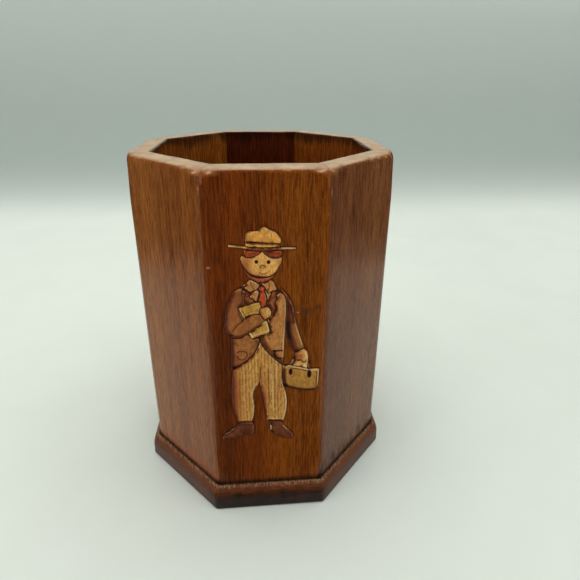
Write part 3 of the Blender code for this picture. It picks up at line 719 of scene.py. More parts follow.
SPOTS = {
    "face": [
        (-2.35, 79.2, 0.46, 0.52, 0.08, 1.0, 0.0), (0.6, 79.1, 0.46, 0.52, 0.08, 1.0, 0.0),
        (-0.8, 77.8, 0.75, 0.65, 0.1, 0.2, 0.35), (-4.9, 78.8, 1.3, 2.6, 0.0, 0.0, 0.85),
        (-3.9, 76.6, 1.5, 1.0, 0.0, 0.0, 0.55), (-1.0, 75.5, 2.2, 0.7, 0.0, 0.0, 0.3),
        (3.4, 79.0, 0.7, 1.6, 0.0, 0.1, 0.4), (3.2, 77.6, 0.4, 0.4, 0.0, 0.35, 0.0),
        (3.5, 79.2, 0.3, 0.4, 0.0, 0.3, 0.0)],
    "hair_right": [
        (0.9, 81.7, 1.2, 0.6, 0.0, 0.55, 0.0)],
    "jacket_right": [
        (1.2, 61.0, 0.3, 0.3, 0.08, 0.8, 0.0), (0.5, 57.6, 0.28, 0.28, 0.08, 0.7, 0.0)],
    "hand_with_case": [
        (8.5, 51.5, 1.3, 1.5, 0.0, 0.0, 1.0), (8.6, 50.4, 0.9, 0.5, 0.0, 0.3, 0.5)],
    "hand_on_book": [
        (-1.0, 64.8, 0.8, 1.6, 0.0, 0.0, 0.45)],
    "briefcase": [
        (6.2, 46.8, 0.52, 1.1, 0.12, 1.0, 0.0), (11.3, 45.8, 0.62, 1.3, 0.12, 1.0, 0.0),
        (6.2, 46.8, 1.0, 1.6, 0.0, 0.12, 0.0)],
    "trousers": [
        (-9.0, 39.6, 1.7, 10.0, 0.0, 0.12, 1.0), (-0.8, 37.6, 0.8, 6.0, 0.0, 0.0, 0.75),
        (-1.6, 45.1, 0.8, 3.0, 0.0, 0.0, 0.45), (-8.6, 46.1, 1.4, 3.0, 0.0, 0.0, 0.6),
        (4.0, 41.1, 0.9, 2.5, 0.0, 0.0, 0.35)],
    "jacket_left": [
        (-8.8, 50.5, 1.5, 3.0, 0.0, 0.25, 0.5)],
    "sleeve_bent": [
        (-7.4, 69.6, 1.9, 1.8, 0.0, 0.3, 0.4), (-8.6, 65.2, 1.0, 3.0, 0.0, 0.0, 0.55),
        (-7.0, 61.0, 2.0, 1.2, 0.0, 0.0, 0.35)],
    "shoe_left": [
        (-6.4, 27.2, 1.9, 1.5, 0.0, 0.45, 0.0)],
    "collar_left": [
        (-2.6, 73.0, 0.7, 0.8, 0.0, 0.1, 0.0)],
    "lapel_right": [
        (1.7, 69.4, 0.8, 1.6, 0.0, 0.25, 0.4)],
    "lapel_left": [
        (-4.6, 70.0, 1.2, 1.6, 0.0, 0.3, 0.5)],
}


def on_front(points):
    """Points of the figure's plan, in millimetres on the front face."""
    return points * np.array(PLAN_SCALE) + np.array(PLAN_SHIFT)


def relief_plan(outline):
    """Fill an outline: its ring, all points, their triangles, and how far each lies from the ring."""
    ring = swell(resample(outline, GRAIN_MM), GAP_FILL_MM)
    low, high = ring.min(0), ring.max(0)
    rows = np.arange(low[1], high[1], GRAIN_MM * 0.87)
    grid = np.array([(x + (GRAIN_MM / 2 if i % 2 else 0), z) for i, z in enumerate(rows)
                     for x in np.arange(low[0], high[0], GRAIN_MM)])
    grid = grid[inside(grid, ring)]
    grid = grid[distance_to(grid, ring) > GRAIN_MM * 0.55]
    points = [Vector(p) for p in np.vstack([ring, grid])]
    border = [(i, (i + 1) % len(ring)) for i in range(len(ring))]
    found = delaunay_2d_cdt(points, border, [], 1, 1e-6)
    plan = np.array([(p.x, p.y) for p in found[0]])
    edge = distance_to(plan, ring)
    edge[edge < 1e-4] = 0
    return ring, plan, [tuple(face) for face in found[2]], edge


def carve(name, plan, edge):
    """Height, ink and blush of each point of a piece, in millimetres and shares."""
    share = np.clip(edge / RELIEF_ROUND_MM, 0, 1)
    height = RELIEF_MM * (0.30 + 0.70 * np.sqrt(1 - (1 - share) ** 2))
    height += RELIEF_CROWN_MM * (1 - np.exp(-edge / 1.4))
    ink = np.zeros(len(plan))
    blush = np.zeros(len(plan))
    for line, width, depth, dark in LINES.get(name, []):
        fine = resample(curved(on_front(np.array(line, float))), GRAIN_MM, closed=False)
        near = np.exp(-(distance_to(plan, fine, closed=False) / (width / 2)) ** 2)
        height -= depth * near * np.minimum(1, edge / 0.15)
        ink = np.clip(ink + dark * near, -1, 1)
    for x, z, across, up, raised, dark, red in SPOTS.get(name, []):
        x, z = on_front(np.array((x, z)))
        away = np.hypot((plan[:, 0] - x) / across, (plan[:, 1] - z) / up)
        height += raised * np.sqrt(np.clip(1 - away ** 2, 0, 1))
        spot = dark * (1 - ease(0.80, 1.05, away))
        ink = np.where(spot > 0, np.maximum(ink, spot), ink)
        blush = np.maximum(blush, red * np.exp(-away ** 2))
    limit = (PIECE_FRONT - OUTER) / MM - 0.02
    return np.minimum(height, limit), ink, blush


def relief_mesh(name, outline):
    """A thin piece with the given outline, rounded at its edge and carved, standing on the front stave."""
    ring, plan, faces, edge = relief_plan(outline)
    height, ink, blush = carve(name, plan, edge)
    front = [(x * MM, -(OUTER + h * MM), z * MM) for (x, z), h in zip(plan, height)]
    rim = [i for i in range(len(plan)) if edge[i] == 0]
    behind = {i: len(front) + k for k, i in enumerate(rim)}
    back = [(plan[i][0] * MM, -(OUTER + RELIEF_BACK_MM * MM), plan[i][1] * MM) for i in rim]
    sides = {pair for face in faces for pair in zip(face, face[1:] + face[:1])}
    follow = {a: b for face in faces for a, b in zip(face, face[1:] + face[:1]) if (b, a) not in sides}
    walls = [(b, a, behind[a], behind[b]) for a, b in follow.items()]
    cap = [behind[i] for i in follow_round(follow)]
    mesh = closed_mesh(name + "_relief", front + back, faces + walls + [cap])
    pad = np.zeros(len(back))
    for key, values in (("edge", edge), ("ink", ink), ("blush", blush), ("left", leftness(plan, ring))):
        store(mesh, key, np.concatenate([values, pad]))
    smooth(mesh, 60)
    return mesh


def swell(ring, by):
    """Move a closed line of points outwards a little, so neighbouring pieces leave a finer gap."""
    ahead = np.roll(ring, -1, axis=0) - np.roll(ring, 1, axis=0)
    normal = np.stack([ahead[:, 1], -ahead[:, 0]], 1)
    normal /= np.maximum(np.linalg.norm(normal, axis=1), 1e-9)[:, None]
    area = (ring[:, 0] * np.roll(ring[:, 1], -1) - ring[:, 1] * np.roll(ring[:, 0], -1)).sum()
    return ring + normal * (by if area > 0 else -by)


def leftness(points, ring):
    """For each point, 1 where the nearest edge lies to the left or below, -1 to the right or above."""
    away = ((points[:, None, :] - ring[None, :, :]) ** 2).sum(2)
    # A blend over near edge points keeps the change from one side to the other soft.
    weight = np.exp(-(np.sqrt(away) - np.sqrt(away.min(1))[:, None]) / 0.35)
    towards = (weight[:, :, None] * (ring[None, :, :] - points[:, None, :])).sum(1)
    towards /= np.maximum(np.linalg.norm(towards, axis=1), 1e-9)[:, None]
    return np.clip(-0.85 * towards[:, 0] - 0.5 * towards[:, 1], -1, 1)


def curved(points):
    """A smooth line through a few points."""
    if len(points) < 3 or (points[0] == points[-1]).all():
        return points
    padded = np.vstack([2 * points[0] - points[1], points, 2 * points[-1] - points[-2]])
    out = []
    for a, b, c, d in zip(padded, padded[1:], padded[2:], padded[3:]):
        for t in (0, 0.25, 0.5, 0.75):
            out.append(0.5 * (2 * b + (c - a) * t + (2 * a - 5 * b + 4 * c - d) * t * t
                              + (3 * b - a - 3 * c + d) * t ** 3))
    out.append(points[-1])
    return np.array(out)


# Each look: its colour, its shaded edge, its pale edge painted on as a highlight where light would catch, and
# how far the shading reaches in millimetres.
PAINT = {
    "straw": ((242, 168, 76), (204, 124, 56), (250, 210, 150), 0.6),
    "handle": ((84, 44, 26), (40, 18, 12), (190, 150, 100), 0.4),
    "hair": ((180, 70, 28), (104, 26, 18), (204, 116, 70), 0.5),
    "beard": ((190, 88, 58), (120, 38, 26), (204, 108, 72), 0.3),
    "skin": ((242, 176, 90), (206, 118, 62), (250, 214, 146), 0.9),
    "shirt": ((200, 132, 66), (168, 98, 48), (250, 222, 164), 0.5),
    "tie": ((210, 80, 32), (128, 32, 18), (226, 132, 92), 0.4),
    "jacket": ((174, 106, 50), (100, 36, 14), (210, 146, 84), 1.5),
    "front": ((200, 130, 66), (112, 46, 22), (236, 184, 116), 0.9),
    "book": ((206, 148, 60), (160, 104, 36), (250, 228, 156), 0.4),
    "trousers": ((216, 154, 74), (158, 80, 38), (246, 206, 138), 0.9),
    "shoe": ((118, 60, 32), (60, 24, 14), (164, 100, 70), 0.9),
    "case": ((190, 132, 56), (108, 58, 28), (236, 198, 130), 0.9),
}


def painted_wood(look):
    """Thin painted wood: fine upright grain under satin lacquer, darker along its lower left edges, with a
    pale highlight painted along its upper right ones.
    """
    *tones, reach = PAINT[look]
    body, shade, highlight_tone = (srgb(*tone) for tone in tones)
    nodes = Nodes("paint_" + look)
    fibre = nodes.noise((3400, 3400, 700), detail=4, rough=0.6)
    cloud = nodes.noise((700, 700, 520), (0.013, 0, 0.007), detail=4, rough=0.65)
    speck = nodes.noise((3600, 3600, 2400), (0.02, 0, 0.01), detail=2)

    # Shading sprayed along the edges, then a dark line, then a pale painted highlight where light would
    # catch.
    edge = nodes.plus(nodes.attribute("edge"), nodes.around(cloud, 1.6))
    left = nodes.attribute("left")
    dark_side = nodes.between(left, -0.5, 0.7, 0.25, 1.0)
    colour = nodes.tint(body, shade, nodes.between(edge, reach, 0.0), dark_side)
    line = nodes.times(nodes.between(edge, 0.34, 0.06), nodes.between(left, -0.9, 0.2, 0.25, 0.75))
    colour = nodes.mix(line, colour, srgb(74, 26, 12))
    lit = nodes.times(nodes.between(edge, 0.42, 0.05), nodes.between(left, 0.0, -0.8))
    colour = nodes.tint(colour, highlight_tone, lit, 0.75)

    # The grain and the paint's blotches.
    blotch = nodes.between(cloud, 0.36, 0.64, 0.77, 1.12)
    grain = nodes.times(nodes.between(fibre, 0.36, 0.64, 0.78, 1.10), blotch)
    grey = nodes.add("CombineColor", {"Red": grain, "Green": grain, "Blue": grain}).outputs[0]
    colour = nodes.mix(1.0, colour, grey, "MULTIPLY")
    if look == "trousers":
        colour = pinstripes(nodes, colour)
    colour = nodes.tint(colour, srgb(70, 28, 16), nodes.between(speck, 0.62, 0.74), 0.40)
    colour = nodes.tint(colour, srgb(246, 214, 150), nodes.between(speck, 0.36, 0.26), 0.30)

    # What is painted on the piece: blush, and ink in two steps, or pale where it is below zero.
    blush = nodes.attribute("blush")
    colour = nodes.tint(colour, srgb(164, 72, 38), blush, nodes.between(cloud, 0.36, 0.60, 0.65, 1.0))
    ink = nodes.attribute("ink")
    colour = nodes.mix(nodes.between(ink, 0.0, 0.75, 0.0, 0.88), colour, srgb(82, 28, 16))
    colour = nodes.mix(nodes.between(ink, 0.62, 1.0), colour, srgb(34, 16, 14))
    colour = nodes.mix(nodes.between(ink, -0.05, -0.8), colour, srgb(240, 216, 162))
    nodes.surface(
        Base_Color=colour, Specular_IOR_Level=0.22,
        Roughness=nodes.between(fibre, 0.3, 0.7, 0.28, 0.40),
        Normal=nodes.bump(fibre, 0.015 * MM, 0.4))
    return nodes.material


def pinstripes(nodes, colour):
    """The trousers' broken upright stripes."""
    x = nodes.split(nodes.place(IN_MM))[0]
    bend = nodes.noise((160, 160, 160), detail=1)
    phase = nodes.plus(nodes.times(x, 2 * math.pi / STRIPE_PITCH_MM), nodes.times(bend, 4.0))
    dash = nodes.between(nodes.noise((900, 900, 900), detail=2), 0.34, 0.50)
    stripe = nodes.times(nodes.between(nodes.math("SINE", phase), 0.20, 0.95), dash)
    return nodes.tint(colour, srgb(116, 62, 28), stripe, 0.65)


# Pieces painted unlike the rest of their slot.
OTHER_LOOKS = {"beard": "beard", "jacket_right": "front"}

# The figure's CAD nodes with their material slots, and their outlines.
FIGURE_NODES = {
    row["node"]: row["material_slot"] for row in frame["record"]["subparts"]
    if row["material_slot"] in PAINT}
OUTLINES = {name: node_outline(name) for name in FIGURE_NODES}


def make_figure():
    """Every piece of the figure, carved and painted."""
    paints = {look: painted_wood(look) for look in PAINT}
    for name, slot in FIGURE_NODES.items():
        look = OTHER_LOOKS.get(name, slot)
        mesh = relief_mesh(name, OUTLINES[name])
        put_mesh(name + "_relief", mesh, paints[look], [name])


# ---------------------------------------------------------------- wood


def wood_grain(nodes, shift, along=2):
    """The tone of straight-grained wood, about 0 to 1, its fibres alone, and its dark pores.

    along is the axis that the grain runs along.
    """
    def stretched(fine, coarse):
        return tuple(coarse if axis == along else fine for axis in range(3))

    fibre = nodes.noise(stretched(2300, 110), shift, detail=4, rough=0.68)
    thread = nodes.noise(stretched(3900, 260), shift, detail=3, rough=0.6)
    bands = nodes.noise(stretched(420, 11), shift, detail=2, rough=0.5, distort=0.3)
    broad = nodes.noise(stretched(110, 6), shift, detail=2, rough=0.5)
    pore = nodes.noise(stretched(3300, 240), shift, detail=1, rough=0.5)
    speckle = nodes.noise((3600, 3600, 3600), shift, detail=2, rough=0.6)
    fibre = nodes.between(fibre, 0.36, 0.64)
    tone = nodes.between(fibre, 0.0, 1.0, -0.14, 0.15)
    for layer, low, high, share in (
            (thread, 0.36, 0.64, 0.44), (bands, 0.33, 0.67, 0.22), (broad, 0.33, 0.67, 0.14),
            (speckle, 0.38, 0.62, 0.24)):
        tone = nodes.plus(tone, nodes.between(layer, low, high, 0.0, share))
    return tone, fibre, nodes.between(pore, 0.60, 0.70)


def stave_wood(name, seed, dark, light, right_light, foot=None, shadow=None):
    """Reddish stained wood with upright grain under satin lacquer, worn to bare wood at its edges.

    foot is the colour that it takes above the base, and shadow darkens it towards one side, low down:
    where along X that starts and ends, and how much.
    """
    nodes = Nodes(name)
    shift = (seed * 0.137, seed * 0.071, seed * 0.213)
    x, y, z = nodes.split(nodes.place(IN_MM))
    tone, fibre, pores = wood_grain(nodes, shift)
    crumb = nodes.noise((1500, 1500, 900), shift, detail=5, rough=0.7)

    # The tones, and how they change from left to right, carry painted light and shade besides the wood's own
    # colour.
    colour = nodes.mix(tone, dark, nodes.mix(nodes.between(x, -10.0, 10.0), light, right_light))
    colour = nodes.tint(colour, srgb(52, 18, 6), pores, 0.45)
    if shadow:
        from_x, to_x, share = shadow
        # Painted shadow: the wood is painted darker towards one side, low down.
        shadowed_low = nodes.times(nodes.between(x, from_x, to_x), nodes.between(z, 72.0, 52.0))
        colour = nodes.tint(colour, srgb(40, 22, 12), shadowed_low, share)
    if foot:
        low = nodes.between(z, BODY_BOTTOM / MM + 5.5, BODY_BOTTOM / MM + 1.0)
        low = nodes.times(low, nodes.between(crumb, 0.3, 0.6, 0.3, 1.0))
        colour = nodes.tint(colour, foot, low, 0.45)

    # Bare, paler wood where hands have worn the lacquer away.
    worn = nodes.plus(nodes.attribute("wear"), nodes.times(crumb, 0.9))
    bare = nodes.between(worn, 1.18, 1.42)
    colour = nodes.tint(colour, srgb(160, 96, 50), nodes.between(worn, 0.66, 1.16), 0.45)
    colour = nodes.tint(colour, srgb(218, 158, 104), bare, 0.80)

    # Rim: end grain, greyed by handling.
    facing = nodes.split(nodes.add("NewGeometry").outputs["Normal"])[2]
    upper = nodes.times(nodes.between(facing, 0.62, 0.97), nodes.between(z, TOP / MM - 3, TOP / MM - 1.5))
    ends = nodes.noise((240, 240, 240), shift, detail=4, rough=0.6)
    specks = nodes.noise((1500, 1500, 1500), shift, detail=4, rough=0.6)
    rim = nodes.mix(nodes.between(ends, 0.34, 0.66), srgb(172, 138, 106), srgb(202, 170, 134))
    rim = nodes.mix(nodes.between(specks, 0.60, 0.76, 0.0, 0.35), rim, srgb(104, 72, 48))
    colour = nodes.tint(colour, rim, upper, 0.92)

    # Uneven dark stain that crept down the inside from the rim.
    creep = nodes.noise((260, 260, 60), shift, detail=3, rough=0.6)
    creep = nodes.between(nodes.plus(z, nodes.times(creep, 9.0)), TOP / MM + 0.5, TOP / MM + 4.0)
    hollow = nodes.between(y, -INNER / MM - 0.9, -INNER / MM - 0.3)
    colour = nodes.tint(colour, srgb(30, 12, 5), nodes.times(creep, hollow), 0.75)

    # Stains and scuffs.
    stain = nodes.attribute("stain")
    patch = nodes.noise((1300, 1300, 700), shift, detail=4, rough=0.7)
    dirty = nodes.between(nodes.plus(stain, nodes.times(patch, 0.7)), 0.50, 1.10)
    colour = nodes.tint(colour, srgb(48, 22, 9), dirty, 0.72)
    scuffed = nodes.between(nodes.math("SUBTRACT", nodes.times(patch, 0.5), stain), 0.42, 0.85)
    colour = nodes.tint(colour, srgb(196, 164, 134), scuffed, 0.75)

    # A dark band along the foot, just above the base, and a dark line in each glued joint and in the scored
    # outline.
    base_line = nodes.between(z, BODY_BOTTOM / MM + 2.2, BODY_BOTTOM / MM + 0.2)
    foot_band = nodes.times(base_line, nodes.between(crumb, 0.35, 0.6, 0.5, 1.0))
    colour = nodes.tint(colour, srgb(26, 12, 7), foot_band, 0.9)
    half_width = nodes.times(nodes.math("ABSOLUTE", y), SLOPE)
    from_mitre = nodes.math("SUBTRACT", half_width, nodes.math("ABSOLUTE", x))
    colour = nodes.tint(colour, srgb(60, 30, 16), nodes.between(from_mitre, 0.18, 0.03), 0.16)
    colour = nodes.tint(colour, srgb(60, 22, 8), nodes.attribute("score"), 0.6)

    rough = nodes.between(fibre, 0.0, 1.0, 0.22, 0.30)
    for rougher, share in ((bare, 0.18), (upper, 0.08), (dirty, 0.15)):
        rough = nodes.plus(rough, nodes.times(rougher, share))
    height = nodes.math("SUBTRACT", nodes.plus(fibre, nodes.times(specks, upper)), pores)
    nodes.surface(
        Base_Color=colour, Roughness=rough, Specular_IOR_Level=0.22,
        Normal=nodes.bump(height, 0.010 * MM, 0.5))
    return nodes.material


# Each stave's wood, from the front one round to the right: its dark tone, its light tone at its left and at
# its right, and what else sets it apart. Besides the wood's own colour, these tones carry painted light and
# shade, set stave by stave for the light on each face; the back stave is painted darkest, as shade inside the
# cup.
STAVE_TONES = {
    "front": ((76, 28, 0), (134, 58, 0), (152, 78, 4), {"shadow": (-6.0, -13.0, 0.30)}),
    "front_right": ((82, 38, 16), (134, 80, 44), (146, 90, 50), {"shadow": (-40.0, -20.0, 0.20)}),
    "right": ((78, 30, 7), (140, 74, 16), (142, 64, 14), {}),
    "back_right": ((78, 30, 7), (158, 84, 22), (158, 84, 22), {}),
    "back": ((48, 16, 5), (104, 40, 10), (104, 40, 10), {}),
    "back_left": ((78, 30, 7), (166, 94, 30), (166, 94, 30), {}),
    "left": ((78, 30, 7), (166, 92, 20), (186, 110, 38), {}),
    "front_left": ((92, 42, 10), (164, 98, 42), (156, 88, 34), {"foot": srgb(158, 62, 18)}),
}


def make_stave_woods():
    """One wood for each stave, from the front one round to the right."""
    return [stave_wood("wood_" + name, seed, srgb(*dark), srgb(*light), srgb(*right_light), **more)
            for seed, (name, (dark, light, right_light, more)) in enumerate(STAVE_TONES.items(), 1)]


def base_wood():
    """The base plate's wood: grain along X, a scratched pale ledge, an orange-brown shoulder, and a side
    painted dark as shade, darkest in the middle of the front and back.
    """
    nodes = Nodes("wood_base")
    x, _, z = nodes.split(nodes.place(IN_MM))
    tone, fibre, pores = wood_grain(nodes, (0.3, 0.1, 0.2), along=0)
    crumb = nodes.noise((1300, 1300, 1300), detail=5, rough=0.72)
    ticks = nodes.noise((2600, 900, 900), (0.1, 0.2, 0.0), (0, 0, 0.8), detail=3, rough=0.65)
    mottle = nodes.noise((300, 300, 300), detail=4, rough=0.6)
    facing = nodes.split(nodes.add("NewGeometry").outputs["Normal"])[2]

    colour = nodes.mix(tone, srgb(66, 30, 12), srgb(136, 72, 34))
    colour = nodes.mix(nodes.between(mottle, 0.50, 0.72, 0.0, 0.5), colour, srgb(52, 24, 12))
    # Painted shade: the side, facing down and out, is painted near black at the front and back and browner at
    # the left and right.
    side = nodes.between(nodes.plus(facing, nodes.around(mottle, 0.9)), 0.72, -0.10)
    beside = nodes.between(nodes.math("ABSOLUTE", x), 15.0, 20.0)
    colour = nodes.tint(colour, nodes.mix(beside, srgb(22, 12, 8), srgb(84, 50, 34)), side, 0.94)
    ledge = nodes.between(nodes.plus(facing, nodes.around(crumb, 1.1)), 0.52, 1.0)
    scratch = nodes.mix(nodes.between(ticks, 0.38, 0.62), srgb(80, 46, 27), srgb(166, 126, 92))
    colour = nodes.tint(colour, scratch, ledge, 0.90)
    worn = nodes.plus(nodes.attribute("wear"), nodes.times(crumb, 0.7))
    colour = nodes.tint(colour, srgb(160, 92, 48), nodes.between(worn, 0.85, 1.15), 0.45)
    joint = nodes.attribute("joint")
    colour = nodes.tint(colour, srgb(20, 10, 6), joint, nodes.between(crumb, 0.3, 0.55, 0.7, 1.0))
    # Painted shade: darker towards the bottom, where the base meets the floor.
    colour = nodes.tint(colour, srgb(20, 13, 10), nodes.between(z, 1.8, 0.3), 0.7)
    colour = nodes.tint(colour, srgb(40, 16, 8), pores, 0.3)
    height = nodes.plus(fibre, nodes.times(ticks, ledge))
    nodes.surface(
        Base_Color=colour, Roughness=nodes.between(crumb, 0.3, 0.7, 0.30, 0.44), Specular_IOR_Level=0.18,
        Normal=nodes.bump(height, 0.016 * MM, 0.5))
    return nodes.material


def floor_wood():
    """The floor panel's plainer, duller wood, with dust and a few pencil marks."""
    nodes = Nodes("wood_floor")
    fibre = nodes.noise((60, 2400, 2400), detail=5, rough=0.6)
    dust = nodes.noise((320, 320, 320), detail=5, rough=0.7)
    marks = nodes.noise((700, 160, 700), turn=(0, 0, 0.7), detail=3)
    colour = nodes.mix(nodes.between(fibre, 0.3, 0.7), srgb(44, 22, 11), srgb(88, 48, 24))
    colour = nodes.mix(nodes.between(dust, 0.45, 0.75, 0.0, 0.35), colour, srgb(120, 104, 86))
    colour = nodes.mix(nodes.between(marks, 0.66, 0.72, 0.0, 0.5), colour, srgb(40, 38, 40))
    nodes.surface(
        Base_Color=colour, Roughness=nodes.between(dust, 0.3, 0.7, 0.5, 0.75),
        Normal=nodes.bump(fibre, 0.04 * MM, 0.5))
    return nodes.material


# ---------------------------------------------------------------- foot


def octagon_stations(flat_count, corner_count):
    """Round an octagon: (side, share along its flat part, share of its corner's turn)."""
    out = []
    for side in range(SIDES):
        out += [(side, i / flat_count, 0.0) for i in range(flat_count)]
        out += [(side, 1.0, i / corner_count) for i in range(corner_count)]
    return out


def octagon_point(station, apothem, rounding):
    """A point of a rounded octagon of a given apothem."""
    side, along, turn = station
    flat_half = (apothem - rounding) * SLOPE
    angle = turn * 2 * HALF_SIDE
    x = -flat_half + 2 * flat_half * along + rounding * math.sin(angle)
    y = -(apothem - rounding) - rounding * math.cos(angle)
    swing = side * 2 * HALF_SIDE
    return (x * math.cos(swing) - y * math.sin(swing), x * math.sin(swing) + y * math.cos(swing))


def octagon_solid(name, profile, flat_count, corner_count):
    """A closed octagonal solid from a profile of (apothem, height, corner rounding), top to bottom."""
    stations = octagon_stations(flat_count, corner_count)
    count = len(stations)
    verts = [(*octagon_point(station, apothem, rounding), height)
             for apothem, height, rounding in profile for station in stations]
    faces = []
    for r in range(0, (len(profile) - 1) * count, count):
        for s, t in enumerate([*range(1, count), 0]):
            faces.append((r + s, r + count + s, r + count + t, r + t))
    faces.append(list(range(count)))
    faces.append([(len(profile) - 1) * count + s for s in reversed(range(count))])
    return closed_mesh(name, verts, faces)


def read_points(mesh):
    """A mesh's points, and the unit vectors in plan that lead from the cup's axis to them."""
    points = np.array([vert.co[:] for vert in mesh.vertices])
    radial = points[:, :2] / np.maximum(np.linalg.norm(points[:, :2], axis=1), 1e-9)[:, None]
    return points, radial


def write_points(mesh, points):
    """Set a mesh's points."""
    mesh.vertices.foreach_set("co", points.astype(np.float32).ravel())


def base_profile():
    """The base plate's section: its top, ledge, quarter-round shoulder, side, recess and its roof."""
    top, bottom = BASE_HIGH.z, BASE_LOW.z
    recess, roof = FELT_HIGH.x + RECESS_GAP, FELT_HIGH.z + RECESS_GAP
    profile = [(HUB, top, 0.2 * MM), (OUTER - 2 * MM, top, 2.0 * MM), (OUTER - 0.4 * MM, top, 4.4 * MM),
               (OUTER + 0.2 * MM, top, 4.0 * MM)]
    for i in range(12):
        angle = math.pi / 2 * i / 11
        apothem = BASE_HALF - SHOULDER_RUN * (1 - math.sin(angle))
        profile.append((apothem, top - SHOULDER_RISE * (1 - math.cos(angle)), (3.6 - 1.4 * i / 11) * MM))
    drop = top - SHOULDER_RISE - bottom - FOOT_RADIUS
    profile += [(BASE_HALF, top - SHOULDER_RISE - drop * i / 5, (2.2 - 0.16 * i) * MM) for i in range(1, 6)]
    for i in range(1, 5):
        angle = math.pi / 2 * i / 4
        apothem = BASE_HALF - FOOT_RADIUS * (1 - math.cos(angle))
        profile.append((apothem, bottom + FOOT_RADIUS * (1 - math.sin(angle)), 1.4 * MM))
    return profile + [
        (recess + 0.2 * MM, bottom, 0.8 * MM), (recess, bottom + 0.2 * MM, 0.8 * MM),
        (recess, roof, 0.8 * MM), (HUB, roof, 0.2 * MM)]


def make_base():
    """The moulded base plate, its ledge, shoulder and side scuffed, drilled for the screws."""
    mesh = octagon_solid("base_plate_moulded", base_profile(), 26, 6)
    points, radial = read_points(mesh)
    rough = drift(points, 900, 2)
    wave = drift(points, 180, 5)
    below_top = BASE_HIGH.z - points[:, 2]
    around = [k * 2 * HALF_SIDE for k in range(SIDES)]
    apothem = np.max([points[:, 0] * math.sin(a) - points[:, 1] * math.cos(a) for a in around], axis=0)
    joint = 1 - ease(OUTER + 0.05 * MM, OUTER + 0.45 * MM, apothem)
    joint[below_top > 1 * MM] = 0
    far_out = np.linalg.norm(points[:, :2], axis=1) > OUTER * 1.02
    outer_part = far_out & (points[:, 2] > BASE_LOW.z + 0.3 * MM)
    push = np.where(outer_part, -np.maximum(0.01, 0.06 + 0.05 * wave + 0.035 * rough) * MM, 0.0)
    low_edge = np.exp(-np.abs(below_top - 1.2 * MM) / (0.9 * MM))
    points[:, :2] += radial * push[:, None]
    points[:, 2] += np.where(outer_part & (below_top < 2 * MM), (0.04 * rough - 0.05) * MM, 0.0)
    write_points(mesh, points)
    store(mesh, "wear", low_edge * (0.5 + 0.4 * wave))
    store(mesh, "joint", joint)
    smooth(mesh)
    base = put_mesh("base_plate_moulded", mesh, base_wood(), ["base_plate"])
    for number in range(1, 5):
        low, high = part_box("base_screw_%d" % number)
        centre = (low + high) / 2
        head = (high.x - low.x) / 2 + SCREW_PLAY
        drill(base, (centre.x, centre.y, low.z + SINK_MIDDLE), head, SINK_DEPTH)
        drill(base, (centre.x, centre.y, SHANK_MIDDLE), SHANK_RADIUS, SHANK_DEPTH)


def drill(piece, centre, radius, depth):
    """Cut an upright hole, a cone that narrows to the screw's shank, and keep only the result."""
    shape = bmesh.new()
    bmesh.ops.create_cone(
        shape, cap_ends=True, segments=32, radius1=radius, radius2=SHANK_RADIUS, depth=depth)
    bmesh.ops.translate(shape, verts=shape.verts, vec=centre)
    mesh = bpy.data.meshes.new("drill")
    shape.to_mesh(mesh)
    shape.free()
    cutter = add_object("drill", mesh)
    modifier = piece.modifiers.new("drill", "BOOLEAN")
    modifier.operation = "DIFFERENCE"
    modifier.object = cutter
    bpy.context.view_layer.update()
    graph = bpy.context.evaluated_depsgraph_get()
    drilled = bpy.data.meshes.new_from_object(piece.evaluated_get(graph))
    piece.modifiers.remove(modifier)
    piece.data = drilled
    bpy.data.objects.remove(cutter, do_unlink=True)


def felt():
    """Short green wool felt with a little lint."""
    nodes = Nodes("felt")
    hair = nodes.noise((2600, 2600, 2600), detail=6, rough=0.75, distort=1.2)
    lint = nodes.noise((160, 160, 160), detail=4)
    colour = nodes.mix(nodes.between(hair, 0.3, 0.7), srgb(22, 52, 34), srgb(52, 98, 66))
    colour = nodes.mix(nodes.between(lint, 0.58, 0.8, 0.0, 0.4), colour, srgb(120, 128, 112))
    nodes.surface(
        Base_Color=colour, Roughness=nodes.between(hair, 0.2, 0.8, 0.85, 1.0), Sheen_Weight=0.4,
        Sheen_Roughness=0.5, Normal=nodes.bump(hair, 0.12 * MM, 0.9))
    return nodes.material


def make_felt():
    """The felt pad: a thin octagon with soft, slightly hairy edges."""
    half = FELT_HIGH.x
    profile = [(10 * MM, FELT_HIGH.z, 0.3 * MM), (half - 0.4 * MM, FELT_HIGH.z, 0.5 * MM),
               (half - 0.1 * MM, FELT_HIGH.z - 0.2 * MM, 0.7 * MM), (half, FELT_HIGH.z / 2, 0.8 * MM),
               (half - 0.1 * MM, FELT_LOW.z + 0.2 * MM, 0.7 * MM), (half - 0.4 * MM, FELT_LOW.z, 0.5 * MM),
               (half * 0.6, FELT_LOW.z, 0.3 * MM), (10 * MM, FELT_LOW.z, 0.3 * MM)]
    mesh = octagon_solid("felt_pad_soft", profile, 30, 4)
    points, radial = read_points(mesh)
    points[:, :2] -= radial * (0.06 + 0.06 * drift(points, 1800, 3))[:, None] * MM
    write_points(mesh, points)
    smooth(mesh, 80)
    put_mesh("felt_pad_soft", mesh, felt(), ["felt_pad"])


